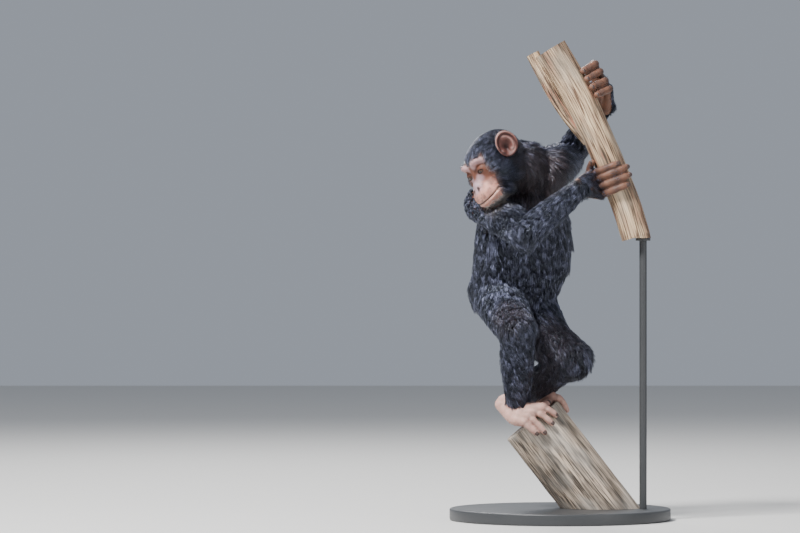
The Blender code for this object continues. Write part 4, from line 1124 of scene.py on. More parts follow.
def unwrap_places(points):
    """Return each point's place on an unwrap of the body: six faces of a box, side by side."""
    fields_slope = unit(field_slope(points)[1])
    axis = np.argmax(np.abs(fields_slope), axis=1)
    away = fields_slope[np.arange(len(points)), axis] > 0
    flat = np.where(axis[:, None] == 0, points[:, [1, 2]],
                    np.where(axis[:, None] == 1, points[:, [0, 2]], points[:, [0, 1]]))
    column = (axis * 2 + away) % 3
    row = (axis * 2 + away) // 3
    inside = (flat - (-0.22, 0.0)) / (0.44, 0.92)
    return (np.column_stack([column, row]) + 0.02 + 0.96 * np.clip(inside, 0, 1)) / (3, 2)


print("place of the first root on the unwrap:", unwrap_places(roots[:1]).round(3))

# %% [markdown]
# Colour of hair and skin
#
# Hair is black with a cool sheen, painted as pale blue-grey in some clumps and at the tips, thinner and
# browner on the neck, the chest, the belly and the inner legs, and white on the chin. Skin is pink-brown on
# the muzzle, orange-brown round the eyes, red-brown in the ears and pale on the feet, with painted shade in
# the line of the mouth, the nostrils and the hollows of the ears, and painted highlight on the ridges and rim
# of the ears. Both are worked out from places on the body and kept as a colour on each point, so that skin
# and coat carry the same markings.

# %% Colours by place
BLACK_HAIR = (0.0030, 0.0029, 0.0042)
# Painted highlight: a pale blue-grey sheen mixed into the colour of some clumps.
PAINTED_SHEEN_HAIR = (0.270, 0.285, 0.430)
BROWN_HAIR = (0.115, 0.078, 0.072)
RED_HAIR = (0.036, 0.017, 0.016)
WHITE_HAIR = (0.60, 0.54, 0.48)
STUBBLE = (0.34, 0.22, 0.18)
DARK_SKIN = (0.050, 0.034, 0.030)
FLUSHED_SKIN = (0.10, 0.050, 0.040)
MUZZLE_PINK = (0.55, 0.262, 0.205)
LIP_PINK = (0.66, 0.39, 0.31)
BROW_LAVENDER = (0.40, 0.245, 0.245)
NOSE_LAVENDER = (0.43, 0.31, 0.35)
EYE_BROWN = (0.140, 0.052, 0.032)
# Dark rim of the lids, also used as painted shade in the line of the mouth and in the nostrils.
LID_RIM_AND_HOLLOW_SHADE = (0.055, 0.028, 0.022)
EAR_RED = (0.115, 0.043, 0.036)
# Painted shade in the hollows of the ear.
EAR_PAINTED_SHADE = (0.030, 0.012, 0.012)
# Painted highlight on the ridges and rim of the ear.
EAR_PAINTED_HIGHLIGHT = (0.42, 0.25, 0.22)
HAND_BROWN = (0.175, 0.085, 0.056)
JOINT_BROWN = (0.055, 0.032, 0.028)
FOOT_PINK = (0.52, 0.31, 0.255)
BARE_TONES = {"palm": HAND_BROWN, "fingers": HAND_BROWN, "sole": FOOT_PINK, "toes": FOOT_PINK}


def spot(points, centre, radius):
    """Return 1 near a place and 0 past a radius, fading between."""
    return smooth_step(np.linalg.norm(points - np.array(centre), axis=1), radius, radius * 0.35)


def mix(base, colour, share):
    """Mix a colour into many by a share for each."""
    return base * (1 - share[:, None]) + np.array(colour) * share[:, None]


def inner_leg(points):
    """Return 1 on the knees and the inner sides of the legs, where thin hair is dark red-brown."""
    knee = spot(points, (-0.103, -0.090, 0.400), 0.052)
    inner = spot(points, (-0.014, -0.020, 0.340), 0.075)
    calf = spot(points, (-0.030, 0.000, 0.265), 0.050)
    return np.clip(0.75 * knee + 0.85 * inner + 0.9 * calf, 0.0, 1.0)


def thin_coat(points):
    """Return how far the coat thins and browns at each point."""
    chest = spot(points, (-0.042, -0.060, 0.650), 0.085)
    shoulder = spot(points, (-0.036, -0.020, 0.656), 0.050)
    return np.clip(1.1 * chest + shoulder + inner_leg(points), 0.0, 1.0)


def hair_colour(points, clump):
    """Return the colour of the hair at each root: clumps with a painted blue-grey highlight and dull ones,
    brown where the coat is thin.
    """
    # Painted highlight: each clump gets a share of pale blue-grey sheen in its colour.
    gloss = chance.random(len(points))[clump] * chance.uniform(0.4, 1.0, len(points))
    colour = mix(np.tile(BLACK_HAIR, (len(points), 1)), PAINTED_SHEEN_HAIR, gloss ** 2.1)
    brown = np.clip(0.85 * thin_coat(points) + chance.normal(0, 0.22, len(points)), 0.0, 1.0)
    warm = mix(np.tile(BROWN_HAIR, (len(points), 1)), RED_HAIR, inner_leg(points))
    # Painted highlight on brown hair, by the same share of sheen.
    warm *= 0.35 + 0.9 * gloss[:, None]
    brown *= thin_coat(points) > 0.02
    colour = colour * (1 - brown[:, None]) + warm * brown[:, None]
    colour = mix(colour, STUBBLE, face_mask(points))
    return mix(colour, WHITE_HAIR, chin_mask(points) * chance.uniform(0.5, 1.0, len(points)))


def face_colour(local, colour):
    """Mix the colours of the bare face into skin colours, for points of the head's own frame, with painted
    shade in the line of the mouth and the nostrils.
    """
    sides = both_sides(local)
    face = smooth_step(local[:, 0], 0.015, 0.030) * smooth_step(local[:, 2], 0.0290, 0.0240)
    colour = mix(colour, EYE_BROWN, face)
    muzzle = smooth_step(local[:, 2] + 0.25 * sides[:, 1], -0.010, -0.022)
    colour = mix(colour, MUZZLE_PINK, muzzle * face)
    colour = mix(colour, NOSE_LAVENDER, 0.85 * spot(local, (0.070, 0.0, -0.024), 0.021))
    colour = mix(colour, NOSE_LAVENDER, 0.5 * spot(sides, (0.056, 0.012, -0.012), 0.013))
    arch = rod_field(sides, smooth_path(BROW_ARCH, 9), np.full(9, 0.0040))
    colour = mix(colour, BROW_LAVENDER, 0.95 * smooth_step(arch, 0.0045, 0.0010) * face)
    lip = np.abs(rod_field(local, MOUTH, np.zeros(MOUTH_POINTS)))
    colour = mix(colour, LIP_PINK, 0.8 * smooth_step(lip, 0.0050, 0.0030))
    # Painted shade in the line of the mouth.
    colour = mix(colour, LID_RIM_AND_HOLLOW_SHADE, smooth_step(lip, 0.0014, 0.0006))
    hole = rod_field(sides, np.array(NOSTRIL), (0.0026, 0.0025, 0.0014))
    # Painted shade inside the nostrils.
    colour = mix(colour, LID_RIM_AND_HOLLOW_SHADE, smooth_step(hole, 0.0009, -0.0001))
    eye = np.array(EYE_PLACE) + (EYE_RADIUS, 0.0004, -0.0004)
    rim = ellipsoid_field(sides, eye, LID_OPENING)
    return mix(colour, LID_RIM_AND_HOLLOW_SHADE, 0.9 * smooth_step(rim, 0.0022, 0.0002))


def ear_colour(local, colour, ears):
    """Mix the colours of the ears into skin colours, for points of the head's own frame, with painted shade
    in the hollows and painted highlight on the ridges and rim.
    """
    sides = both_sides(local) - EAR_PLACE
    _, behind, above = ear_axes(1)
    back, up = sides @ behind / EAR_WIDTH, sides @ above / EAR_HEIGHT
    reach = np.hypot(back, up)
    colour = mix(colour, EAR_RED, ears)
    # Painted shade in the bowl of the ear.
    colour = mix(colour, EAR_PAINTED_SHADE, ears * bump_at(back, up, (-0.15, -0.05), 0.33))
    groove = smooth_step(reach, 0.66, 0.74) * smooth_step(reach, 0.90, 0.80)
    # Painted shade in the groove inside the rim.
    colour = mix(colour, EAR_PAINTED_SHADE, 0.7 * ears * groove)
    # Painted highlight on the fold and the knob.
    colour = mix(colour, EAR_PAINTED_HIGHLIGHT, 0.45 * ears * ear_fold(back, up))
    colour = mix(colour, EAR_PAINTED_HIGHLIGHT, 0.8 * ears * bump_at(back, up, (0.20, -0.46), 0.15))
    # Painted highlight on the rim, stronger towards the front, where the light falls.
    pale = 0.30 + 0.50 * smooth_step(-back, -0.2, 0.4)
    return mix(colour, EAR_PAINTED_HIGHLIGHT, ears * smooth_step(reach, 0.89, 0.97) * pale)


def joint_mask(points):
    """Return 1 at the joints of fingers and toes."""
    marks = np.zeros(len(points))
    for name in ("fingers_right", "fingers_left", "toes_right", "toes_left"):
        for path, radii in RODS[name]:
            for index in (0, 4, 9):
                marks = np.maximum(marks, spot(points, path[index], 2.0 * radii[index]))
    return marks


def skin_colour(points):
    """Return the colour of the skin at each point."""
    shares = part_shares(points)
    colour = np.tile(DARK_SKIN, (len(points), 1)).astype(float)
    colour = mix(colour, FLUSHED_SKIN, 0.9 * thin_coat(points))
    local = world_to_head(points)
    near = np.linalg.norm(local, axis=1) < HEAD_REACH
    colour[near] = face_colour(local[near], colour[near])
    colour[near] = ear_colour(local[near], colour[near], ear_mask(points[near]))
    share = {part: shares[:, PARTS.index(part + "_right")] + shares[:, PARTS.index(part + "_left")]
             for part in BARE_TONES}
    for part, tone in BARE_TONES.items():
        colour = mix(colour, tone, smooth_step(share[part], 0.3, 0.8))
    hand, foot = share["palm"] + share["fingers"], share["sole"] + share["toes"]
    return mix(colour, JOINT_BROWN, joint_mask(points) * (0.75 * hand + 0.30 * foot))


print("white on the chin:", float(chin_mask(head_to_world(CHIN_MIDDLE))[0]))

# %% Coat pieces by part
TUFT_WIDTH = {"torso": 0.0020, "neck": 0.0017, "head": 0.0010, "upper_arm": 0.0017, "forearm": 0.0016,
              "palm": 0.0009, "fingers": 0.0007, "thigh": 0.0018, "shank": 0.0015, "sole": 0.0008,
              "toes": 0.0006}
PIECE_TUFTS = {"long": 17500, "short": 40000}
CLUMP_TUFTS = {"long": 13, "short": 16}
widths = shares @ by_part(TUFT_WIDTH) * chance.uniform(0.8, 1.2, len(roots))
coat_pieces = []
for kind, members in (("long", np.flatnonzero(~is_short)), ("short", np.flatnonzero(is_short))):
    members = members[np.argsort(np.argmax(shares[members], axis=1) * 10.0 + roots[members, 2])]
    clump = nearest_clump(roots[members], CLUMP_TUFTS[kind])
    lines, sides = tuft_lines(kind, roots[members], root_normals[members], lies[members],
                              lengths[members], lift[members], curl[members], clump)
    colours = np.column_stack([hair_colour(roots[members], clump), np.ones(len(members))])
    places = unwrap_places(roots[members])
    for start in range(0, len(members), PIECE_TUFTS[kind]):
        part = slice(start, start + PIECE_TUFTS[kind])
        coat_pieces.append(blade_mesh(f"coat_{len(coat_pieces) + 1:02d}", kind, lines[part], sides[part],
                                      widths[members[part]], places[part], colours[part]))
print("coat pieces:", len(coat_pieces), "triangles:", sum(len(piece.data.polygons) for piece in coat_pieces))

# %% [markdown]
# Materials
#
# Skin has fine creases from a Voronoi pattern and blotches from noise over the colours of its
# points. Hair has fibres along each blade, a paler tip tinted blue-grey as painted sheen, and a cool gloss.
# The noise on the skin reads the object's own coordinates, and the fibres read the map of each tuft.

# %% Helpers for materials
def new_material(name):
    """Make a node material and return it with its nodes, links and shader."""
    material = bpy.data.materials.new(name)
    material.use_nodes = True
    tree = material.node_tree
    return material, tree.nodes, tree.links, tree.nodes["Principled BSDF"]


def noise(nodes, links, source, scale, detail=4.0, stretch=(1, 1, 1)):
    """Add a noise texture over a coordinate output, stretched along its axes."""
    place = nodes.new("ShaderNodeMapping")
    place.inputs["Scale"].default_value = stretch
    links.new(source, place.inputs["Vector"])
    texture = nodes.new("ShaderNodeTexNoise")
    texture.inputs["Scale"].default_value = scale
    texture.inputs["Detail"].default_value = detail
    links.new(place.outputs["Vector"], texture.inputs["Vector"])
    return texture.outputs["Fac"]


def set_inputs(node, values):
    """Set inputs of a node by their names."""
    for name, value in values.items():
        node.inputs[name].default_value = value


def feed(links, socket, value):
    """Link an output to a socket, or set the socket to a plain value."""
    if isinstance(value, bpy.types.NodeSocket):
        links.new(value, socket)
    else:
        socket.default_value = value


def mix_colours(nodes, links, share, first, second, way="MIX"):
    """Mix two colours by a share, and return the mixed colour."""
    mixer = nodes.new("ShaderNodeMix")
    mixer.data_type, mixer.blend_type = "RGBA", way
    for name, value in (("Factor", share), ("A", first), ("B", second)):
        feed(links, mixer.inputs[name], value)
    return mixer.outputs["Result"]


def map_range(nodes, links, value, source=(0.0, 1.0), target=(0.0, 1.0)):
    """Carry a value from one range to another, and return it."""
    ranged = nodes.new("ShaderNodeMapRange")
    set_inputs(ranged, dict(zip(("From Min", "From Max", "To Min", "To Max"), source + target)))
    links.new(value, ranged.inputs["Value"])
    return ranged.outputs["Result"]


def point_colour(nodes):
    """Return the colour that each point of a mesh keeps."""
    tone = nodes.new("ShaderNodeAttribute")
    tone.attribute_name = "marking"
    return tone.outputs["Color"]


def add_bump(nodes, links, shader, height, strength, distance):
    """Tilt the surface of a shader by a height."""
    bump = nodes.new("ShaderNodeBump")
    set_inputs(bump, {"Strength": strength, "Distance": distance})
    links.new(height, bump.inputs["Height"])
    links.new(bump.outputs["Normal"], shader.inputs["Normal"])


print("materials so far:", len(bpy.data.materials))

# %% Bare skin
def skin_material():
    """Make bare skin with creases, pores and blotches over the colours of its points."""
    material, nodes, links, shader = new_material("bare_skin")
    spots = nodes.new("ShaderNodeTexCoord").outputs["Object"]
    blotch = noise(nodes, links, spots, 90.0)
    colour = mix_colours(nodes, links, 0.45, point_colour(nodes), blotch, "OVERLAY")
    links.new(colour, shader.inputs["Base Color"])
    creases = nodes.new("ShaderNodeTexVoronoi")
    creases.inputs["Scale"].default_value = 700.0
    creases.feature = "DISTANCE_TO_EDGE"
    links.new(spots, creases.inputs["Vector"])
    height = nodes.new("ShaderNodeMath")
    height.operation = "MULTIPLY_ADD"
    height.inputs[1].default_value = 0.6
    links.new(creases.outputs["Distance"], height.inputs[0])
    links.new(noise(nodes, links, spots, 260.0), height.inputs[2])
    add_bump(nodes, links, shader, height.outputs[0], 0.5, 0.0006)
    set_inputs(shader, {"Roughness": 0.55, "Specular IOR Level": 0.3,
                        "Subsurface Weight": 0.08, "Subsurface Scale": 0.004})
    return material


bare_skin = skin_material()
print("skin nodes:", len(bare_skin.node_tree.nodes))

# %% Hair
# Tips are paler, and their blue-grey tint is painted sheen.
PALE_TIP_SHEEN = (0.075, 0.083, 0.115, 1)
COOL_GLOSS = (0.72, 0.80, 1.0, 1)


def hair_material():
    """Make hair with fine fibres along each blade, paler tips tinted blue-grey as painted sheen, and a cool
    gloss.
    """
    material, nodes, links, shader = new_material("coat_hair")
    strand = nodes.new("ShaderNodeUVMap")
    strand.uv_map = "strand"
    fibre = noise(nodes, links, strand.outputs["UV"], 3.0, 2.0, (2.2, 0.25, 1.0))
    tint = nodes.new("ShaderNodeVectorMath")
    tint.operation = "SCALE"
    links.new(point_colour(nodes), tint.inputs[0])
    links.new(map_range(nodes, links, fibre, (0.3, 0.7), (0.55, 1.5)), tint.inputs["Scale"])
    split = nodes.new("ShaderNodeSeparateXYZ")
    links.new(strand.outputs["UV"], split.inputs[0])
    # Towards the tip the colour turns paler blue-grey: painted sheen on the tips.
    tip = map_range(nodes, links, split.outputs["Y"], (0.25, 1.0), (0.0, 0.16))
    colour = mix_colours(nodes, links, tip, tint.outputs["Vector"], PALE_TIP_SHEEN)
    links.new(colour, shader.inputs["Base Color"])
    add_bump(nodes, links, shader, fibre, 0.6, 0.0004)
    set_inputs(shader, {"Roughness": 0.32, "Specular IOR Level": 0.85, "Specular Tint": COOL_GLOSS})
    return material


hair = hair_material()
print("hair nodes:", len(hair.node_tree.nodes))

# %% Dress the skin and the coat
def paint_points(thing, colours):
    """Keep a colour on each point of a mesh object."""
    layer = thing.data.color_attributes.new(name="marking", type="FLOAT_COLOR", domain="POINT")
    layer.data.foreach_set("color", np.column_stack([colours, np.ones(len(colours))]).ravel())


paint_points(skin, skin_colour(read_points(skin.data)))
skin.data.materials.clear()
skin.data.materials.append(bare_skin)
select_only(skin)
bpy.ops.object.shade_smooth()
FLESH = ["head", "ear_left", "ear_right", "neck", "chest", "abdomen", "pelvis"]
FLESH += [part + side for side in ("_right", "_left")
          for part in ("upper_arm", "forearm", "hand", "thigh", "shank", "foot")]
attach(skin, "root")
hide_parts(*FLESH)
for piece in coat_pieces:
    piece.data.materials.append(hair)
    select_only(piece)
    bpy.ops.object.shade_smooth()
    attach(piece, "root")
print("skin triangles:", len(triangles_of(skin)))

# %% [markdown]
# The bare trunk and the sawn branch
#
# The trunk that the hands hold has lost its bark. Its wood has weathered pale, with long grain,
# drying cracks and the scar of a thinner stem that grew along it. The branch under the feet is
# thicker, greyer and was cut with a saw. Both are swept as many rings, so that cracks and low
# ridges are real dents. Each point keeps its place in the straightened log, which lets the grain
# follow the bend and the sawn ends show their rings.

# %% Sweep a log with ridges and cracks
SIDE_STEM = ((-0.0530, -0.021, 0.884), (-0.0330, -0.022, 0.845), (-0.0120, -0.023, 0.805),
             (0.0150, -0.026, 0.762), (0.0500, -0.030, 0.715))
SIDE_STEM_RADII = (0.0125, 0.0125, 0.0120, 0.0110, 0.0080)
LOG_SIDES = 144
LOG_TURNS = np.linspace(0, 2 * np.pi, LOG_SIDES, endpoint=False)


def log_relief(turns, place, cracks, ridge):
    """Return how far the wood stands out or is cracked in, round a ring at a place along the log."""
    wave = np.sin(9 * turns + 3 * np.sin(place * 21)) + 0.8 * np.sin(17 * turns + 5 + 2 * np.sin(place * 33))
    relief = ridge * (0.5 * wave + 0.5 * np.sin(31 * turns + 4 * np.sin(place * 27 + 1)))
    for turn, start, end, depth, sway in cracks:
        along = np.clip((place - start) / (end - start), 0, 1)
        open_share = math.sin(math.pi * along) if 0 < along < 1 else 0.0
        gap = np.angle(np.exp(1j * (turns - turn - sway * math.sin(place * 40))))
        relief = relief - depth * open_share * np.exp(-(gap / 0.035) ** 2)
    return relief


def log_cracks(count, length, seed):
    """Return seeded drying cracks as turn, start, end, depth and sway."""
    draw = np.random.default_rng(seed)
    starts = draw.uniform(-0.1, 0.85, count) * length
    return np.column_stack([draw.uniform(0, 2 * np.pi, count), starts,
                            starts + draw.uniform(0.15, 0.55, count) * length,
                            draw.uniform(0.0005, 0.0016, count), draw.uniform(0.01, 0.05, count)])


def log_object(name, rings, straight, sawn):
    """Make a log from rings, and keep straightened places and the mark of sawn wood on its points."""
    points, faces = skin_rings(rings)
    made = add_mesh(name, points, faces)
    grain = made.data.attributes.new(name="grain", type="FLOAT_VECTOR", domain="POINT")
    grain.data.foreach_set("vector", np.concatenate(straight).ravel())
    ends = made.data.attributes.new(name="sawn", type="FLOAT", domain="POINT")
    ends.data.foreach_set("value", np.concatenate(sawn))
    face_outwards(made)
    select_only(made)
    bpy.ops.object.shade_smooth_by_angle(angle=math.radians(50))
    return made


def close_end(ring_points, straight, inward, levels=7):
    """Return smaller and smaller rings that close a sawn end."""
    centre, flat_centre = ring_points.mean(axis=0), straight.mean(axis=0)
    rings, places = [], []
    for share in np.linspace(1.0, 0.02, levels)[1:]:
        dent = inward * 0.0006 * (1 - share)
        rings.append(centre + (ring_points - centre) * share + dent)
        places.append(flat_centre + (straight - flat_centre) * share)
    return rings, places


def sweep_log(name, stations, frame_at, cracks, ridge):
    """Sweep rings along stations, close both ends and return the log."""
    rings, straight, sawn = [], [], []
    for place in stations:
        centre, across, toward, girth, slide = frame_at(place)
        reach = girth + log_relief(LOG_TURNS, place, cracks, ridge)
        flat_x, flat_y = np.cos(LOG_TURNS) * reach, np.sin(LOG_TURNS) * reach
        section = centre + np.outer(flat_x, across) + np.outer(flat_y, toward)
        rings.append(section + slide(section))
        straight.append(np.column_stack([flat_x, flat_y, np.full(LOG_SIDES, place)]))
        sawn.append(np.zeros(LOG_SIDES))
    run = unit(rings[1].mean(axis=0) - rings[0].mean(axis=0))
    top_rings, top_places = close_end(rings[0], straight[0], run)
    foot_rings, foot_places = close_end(rings[-1], straight[-1], -run)
    rings = top_rings[::-1] + rings + foot_rings
    straight = top_places[::-1] + straight + foot_places
    sawn = [np.ones(LOG_SIDES)] * len(top_rings) + sawn + [np.ones(LOG_SIDES)] * len(foot_rings)
    return log_object(name, rings, straight, sawn)


print("points round a log:", LOG_SIDES)

# %% The trunk with its side stem
TRUNK_LENGTH = TRUNK_TOP_Z - TRUNK_END_Z


def trunk_frame(place):
    """Return centre, axes and radius of the trunk at a distance below its top."""
    height = TRUNK_TOP_Z - place
    run, across = trunk_run(height)
    share = place / TRUNK_LENGTH
    swell = 1.0 + 0.018 * np.sin(3 * LOG_TURNS + 2 * share) + 0.012 * np.sin(5 * LOG_TURNS + 5 * share)
    level = smooth_step(place, TRUNK_LENGTH - 0.004, TRUNK_LENGTH)

    def slide(section):
        """Bring the last ring down to one level cut."""
        return np.outer((TRUNK_END_Z - section[:, 2]) / run[2] * (place >= TRUNK_LENGTH - 1e-6), run)

    girth = trunk_radius(height) * swell * (1 - 0.03 * level)
    return trunk_axis(height), across, NEAR, girth, slide


trunk = sweep_log("trunk", np.linspace(0.0, TRUNK_LENGTH, 240), trunk_frame,
                  log_cracks(26, TRUNK_LENGTH, 5), 0.00022)
STEM_RINGS, STEM_LENGTH = 90, 0.25
stem_path, stem_radii = rod(SIDE_STEM, SIDE_STEM_RADII, STEM_RINGS)
stem_runs = unit(np.gradient(stem_path, axis=0))


def stem_frame(place):
    """Return centre, axes and radius of the side stem at a distance along it."""
    index = min(int(round(place / STEM_LENGTH * (STEM_RINGS - 1))), STEM_RINGS - 1)
    across = unit(np.cross(NEAR, stem_runs[index]))
    toward = np.cross(stem_runs[index], across)
    girth = stem_radii[index] * (1.0 + 0.02 * np.sin(2 * LOG_TURNS + place * 20))
    return stem_path[index], across, toward, girth, np.zeros_like


side_stem = sweep_log("side_stem", np.linspace(0.0, STEM_LENGTH, STEM_RINGS), stem_frame,
                      log_cracks(7, STEM_LENGTH, 9), 0.00018)
unite(trunk, side_stem)
print("trunk faces:", len(trunk.data.polygons))

# %% The sawn branch
STUMP_LENGTH = 0.245


def stump_frame(place):
    """Return centre, axes and radius of the branch at a distance below its sawn face."""
    swell = 1.0 + 0.016 * np.sin(2 * LOG_TURNS + 0.6) + 0.012 * np.sin(5 * LOG_TURNS)
    eased = 1.0 - 0.022 * smooth_step(place, 0.003, 0.0)
    foot = BASE_TOP + GAP

    def slide(section):
        """Spread the rings between the sawn face and the level foot."""
        down = -STUMP_FACING
        lowest = (foot - (section[:, 2] - down[2] * place)) / down[2]
        return np.outer(lowest * place / STUMP_LENGTH - place, down)

    return STUMP_FACE - STUMP_FACING * place, STUMP_ACROSS, NEAR, STUMP_RADIUS * swell * eased, slide


stump = sweep_log("branch", np.concatenate([[0.0, 0.001, 0.003], np.linspace(0.006, STUMP_LENGTH, 170)]),
                  stump_frame, log_cracks(30, STUMP_LENGTH, 12), 0.00035)
print("branch faces:", len(stump.data.polygons))

# %% [markdown]
# Wood colour
#
# One group of nodes makes weathered wood. It reads the straightened place of each point, so long
# noise runs with the grain, darker streaks follow it, and the sawn ends get rings from the
# distance to the heart. Trunk and branch use it with three colours of their own.

# %% The wood group
def wood_group():
    """Make the group that turns a straightened place into wood colour, roughness and height."""
    group = bpy.data.node_groups.new("weathered_wood", "ShaderNodeTree")
    for name in ("Light", "Dark", "Grey"):
        group.interface.new_socket(name=name, in_out="INPUT", socket_type="NodeSocketColor")
    group.interface.new_socket(name="Colour", in_out="OUTPUT", socket_type="NodeSocketColor")
    group.interface.new_socket(name="Height", in_out="OUTPUT", socket_type="NodeSocketFloat")
    group.interface.new_socket(name="Roughness", in_out="OUTPUT", socket_type="NodeSocketFloat")
    nodes, links = group.nodes, group.links
    ends = nodes.new("NodeGroupInput")
    out = nodes.new("NodeGroupOutput")
    grain = nodes.new("ShaderNodeAttribute")
    grain.attribute_name = "grain"
    sawn = nodes.new("ShaderNodeAttribute")
    sawn.attribute_name = "sawn"
    fine = noise(nodes, links, grain.outputs["Vector"], 100.0, 5.0, (4.5, 4.5, 0.16))
    wide = noise(nodes, links, grain.outputs["Vector"], 30.0, 3.0, (2.0, 2.0, 0.35))
    patch = noise(nodes, links, grain.outputs["Vector"], 22.0, 3.0, (1.0, 1.0, 0.6))
    split = nodes.new("ShaderNodeSeparateXYZ")
    links.new(grain.outputs["Vector"], split.inputs[0])
    flat = nodes.new("ShaderNodeCombineXYZ")
    links.new(split.outputs["X"], flat.inputs["X"])
    links.new(split.outputs["Y"], flat.inputs["Y"])
    rings = nodes.new("ShaderNodeTexWave")
    rings.wave_type, rings.rings_direction = "RINGS", "Z"
    set_inputs(rings, {"Scale": 150.0, "Distortion": 1.2, "Detail Scale": 0.6})
    links.new(flat.outputs[0], rings.inputs["Vector"])
    streak = nodes.new("ShaderNodeMix")
    links.new(sawn.outputs["Fac"], streak.inputs["Factor"])
    links.new(fine, streak.inputs["A"])
    links.new(rings.outputs["Fac"], streak.inputs["B"])
    stripes = map_range(nodes, links, streak.outputs["Result"], (0.40, 0.56))
    colour = mix_colours(nodes, links, stripes, ends.outputs["Dark"], ends.outputs["Light"])
    faded = map_range(nodes, links, patch, (0.46, 0.62), (0.0, 0.60))
    colour = mix_colours(nodes, links, faded, colour, ends.outputs["Grey"])
    broad = map_range(nodes, links, wide, (0.36, 0.60), (0.12, 0.68))
    colour = mix_colours(nodes, links, 0.85, colour, broad, "OVERLAY")
    links.new(colour, out.inputs["Colour"])
    links.new(streak.outputs["Result"], out.inputs["Height"])
    links.new(map_range(nodes, links, fine, target=(0.62, 0.85)), out.inputs["Roughness"])
    return group


wood = wood_group()
print("wood nodes:", len(wood.nodes))

# %% Lay the wood on trunk and branch
def wood_material(name, light, dark, grey, depth):
    """Make wood of three colours with the group."""
    material, nodes, links, shader = new_material(name)
    maker = nodes.new("ShaderNodeGroup")
    maker.node_tree = wood
    set_inputs(maker, {"Light": (*light, 1), "Dark": (*dark, 1), "Grey": (*grey, 1)})
    links.new(maker.outputs["Colour"], shader.inputs["Base Color"])
    links.new(maker.outputs["Roughness"], shader.inputs["Roughness"])
    add_bump(nodes, links, shader, maker.outputs["Height"], 0.7, depth)
    return material


trunk.data.materials.clear()
trunk.data.materials.append(wood_material("bare_wood", (0.60, 0.425, 0.265), (0.10, 0.055, 0.032),
                                          (0.45, 0.37, 0.28), 0.0012))
stump.data.materials.append(wood_material("grey_wood", (0.48, 0.38, 0.29), (0.055, 0.040, 0.030),
                                          (0.38, 0.345, 0.30), 0.0014))
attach(trunk, "root")
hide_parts("perch_trunk")
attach(stump, "root")
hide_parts("perch_stump")

# %% [markdown]
# The display stand
#
# A round painted foot and a steel rod carry the cut end of the trunk. They are turned parts, so
# each starts as a cylinder; the foot and the rod's plate get their edges rounded by a bevel, and both parts
# get a fine satin paint.

# %% The stand
ROD_X, ROD_RADIUS, FLANGE_RADIUS, FLANGE_HEIGHT = 0.156, 0.007, 0.014, 0.005
BASE_RADIUS, BASE_EDGE = 0.210, 0.003


def turned_part(name, sides, radius, low, high, place):
    """Add a round bar between two heights."""
    bpy.ops.object.select_all(action="DESELECT")
    bpy.ops.mesh.primitive_cylinder_add(vertices=sides, radius=radius, depth=high - low,
                                        location=(place[0], place[1], (low + high) / 2))
    bpy.ops.object.transform_apply(location=True, rotation=True, scale=True)
    made = bpy.context.object
    made.name = name
    return made


def ease_edges(thing, width, steps, limit=40):
    """Round the sharp edges of a turned part."""
    bevel = thing.modifiers.new("eased", "BEVEL")
    bevel.width, bevel.segments = width, steps
    bevel.limit_method, bevel.angle_limit = "ANGLE", math.radians(limit)
    apply_all(thing)
    bpy.ops.object.shade_smooth_by_angle(angle=math.radians(35))


base = turned_part("stand_foot", 160, BASE_RADIUS, 0.0, BASE_TOP, (0, 0))
ease_edges(base, BASE_EDGE, 4)
rod_top = TRUNK_END_Z - GAP
upright = turned_part("stand_upright", 48, ROD_RADIUS, BASE_TOP + GAP, rod_top, (ROD_X, TRUNK_Y))
plate = turned_part("stand_plate", 48, FLANGE_RADIUS, rod_top - FLANGE_HEIGHT, rod_top, (ROD_X, TRUNK_Y))
ease_edges(plate, 0.0008, 3)
unite(upright, plate)
select_only(upright)
bpy.ops.object.shade_smooth_by_angle(angle=math.radians(35))
print("stand faces:", len(base.data.polygons) + len(upright.data.polygons))

# %% Satin paint
def paint_material():
    """Make dark satin paint with a faint orange-peel and small differences in gloss."""
    material, nodes, links, shader = new_material("stand_paint")
    place = nodes.new("ShaderNodeTexCoord").outputs["Object"]
    cloud = noise(nodes, links, place, 14.0)
    tint = mix_colours(nodes, links, cloud, (0.038, 0.040, 0.043, 1), (0.056, 0.058, 0.060, 1))
    links.new(tint, shader.inputs["Base Color"])
    links.new(map_range(nodes, links, cloud, target=(0.34, 0.50)), shader.inputs["Roughness"])
    add_bump(nodes, links, shader, noise(nodes, links, place, 900.0, 2.0), 0.12, 0.0002)
    return material


paint = paint_material()
for piece, node in ((base, "stand_base"), (upright, "stand_rod")):
    piece.data.materials.clear()
    piece.data.materials.append(paint)
    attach(piece, "root")
    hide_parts(node)
print("stand pieces:", base.name, upright.name)

# %% [markdown]
# Eyes
#
# A chimpanzee's eye is dark all over: a brown-black white, an amber-brown iris and a round pupil
# under a clear bulge. Each is turned round its own line of sight, and its colours follow the
# distance from that line.

# %% The shape and colours of an eye
GAZE = (0.93, 0.08, -0.20)
IRIS_ANGLE, PUPIL_ANGLE = 36.0, 16.0
IRIS_BROWN, WHITE_OF_EYE, PUPIL_DARK = (0.085, 0.030, 0.010), (0.018, 0.009, 0.007), 0.004
EYE_SIDES, EYE_RINGS = 48, 90
EYE_SINK = 0.0006


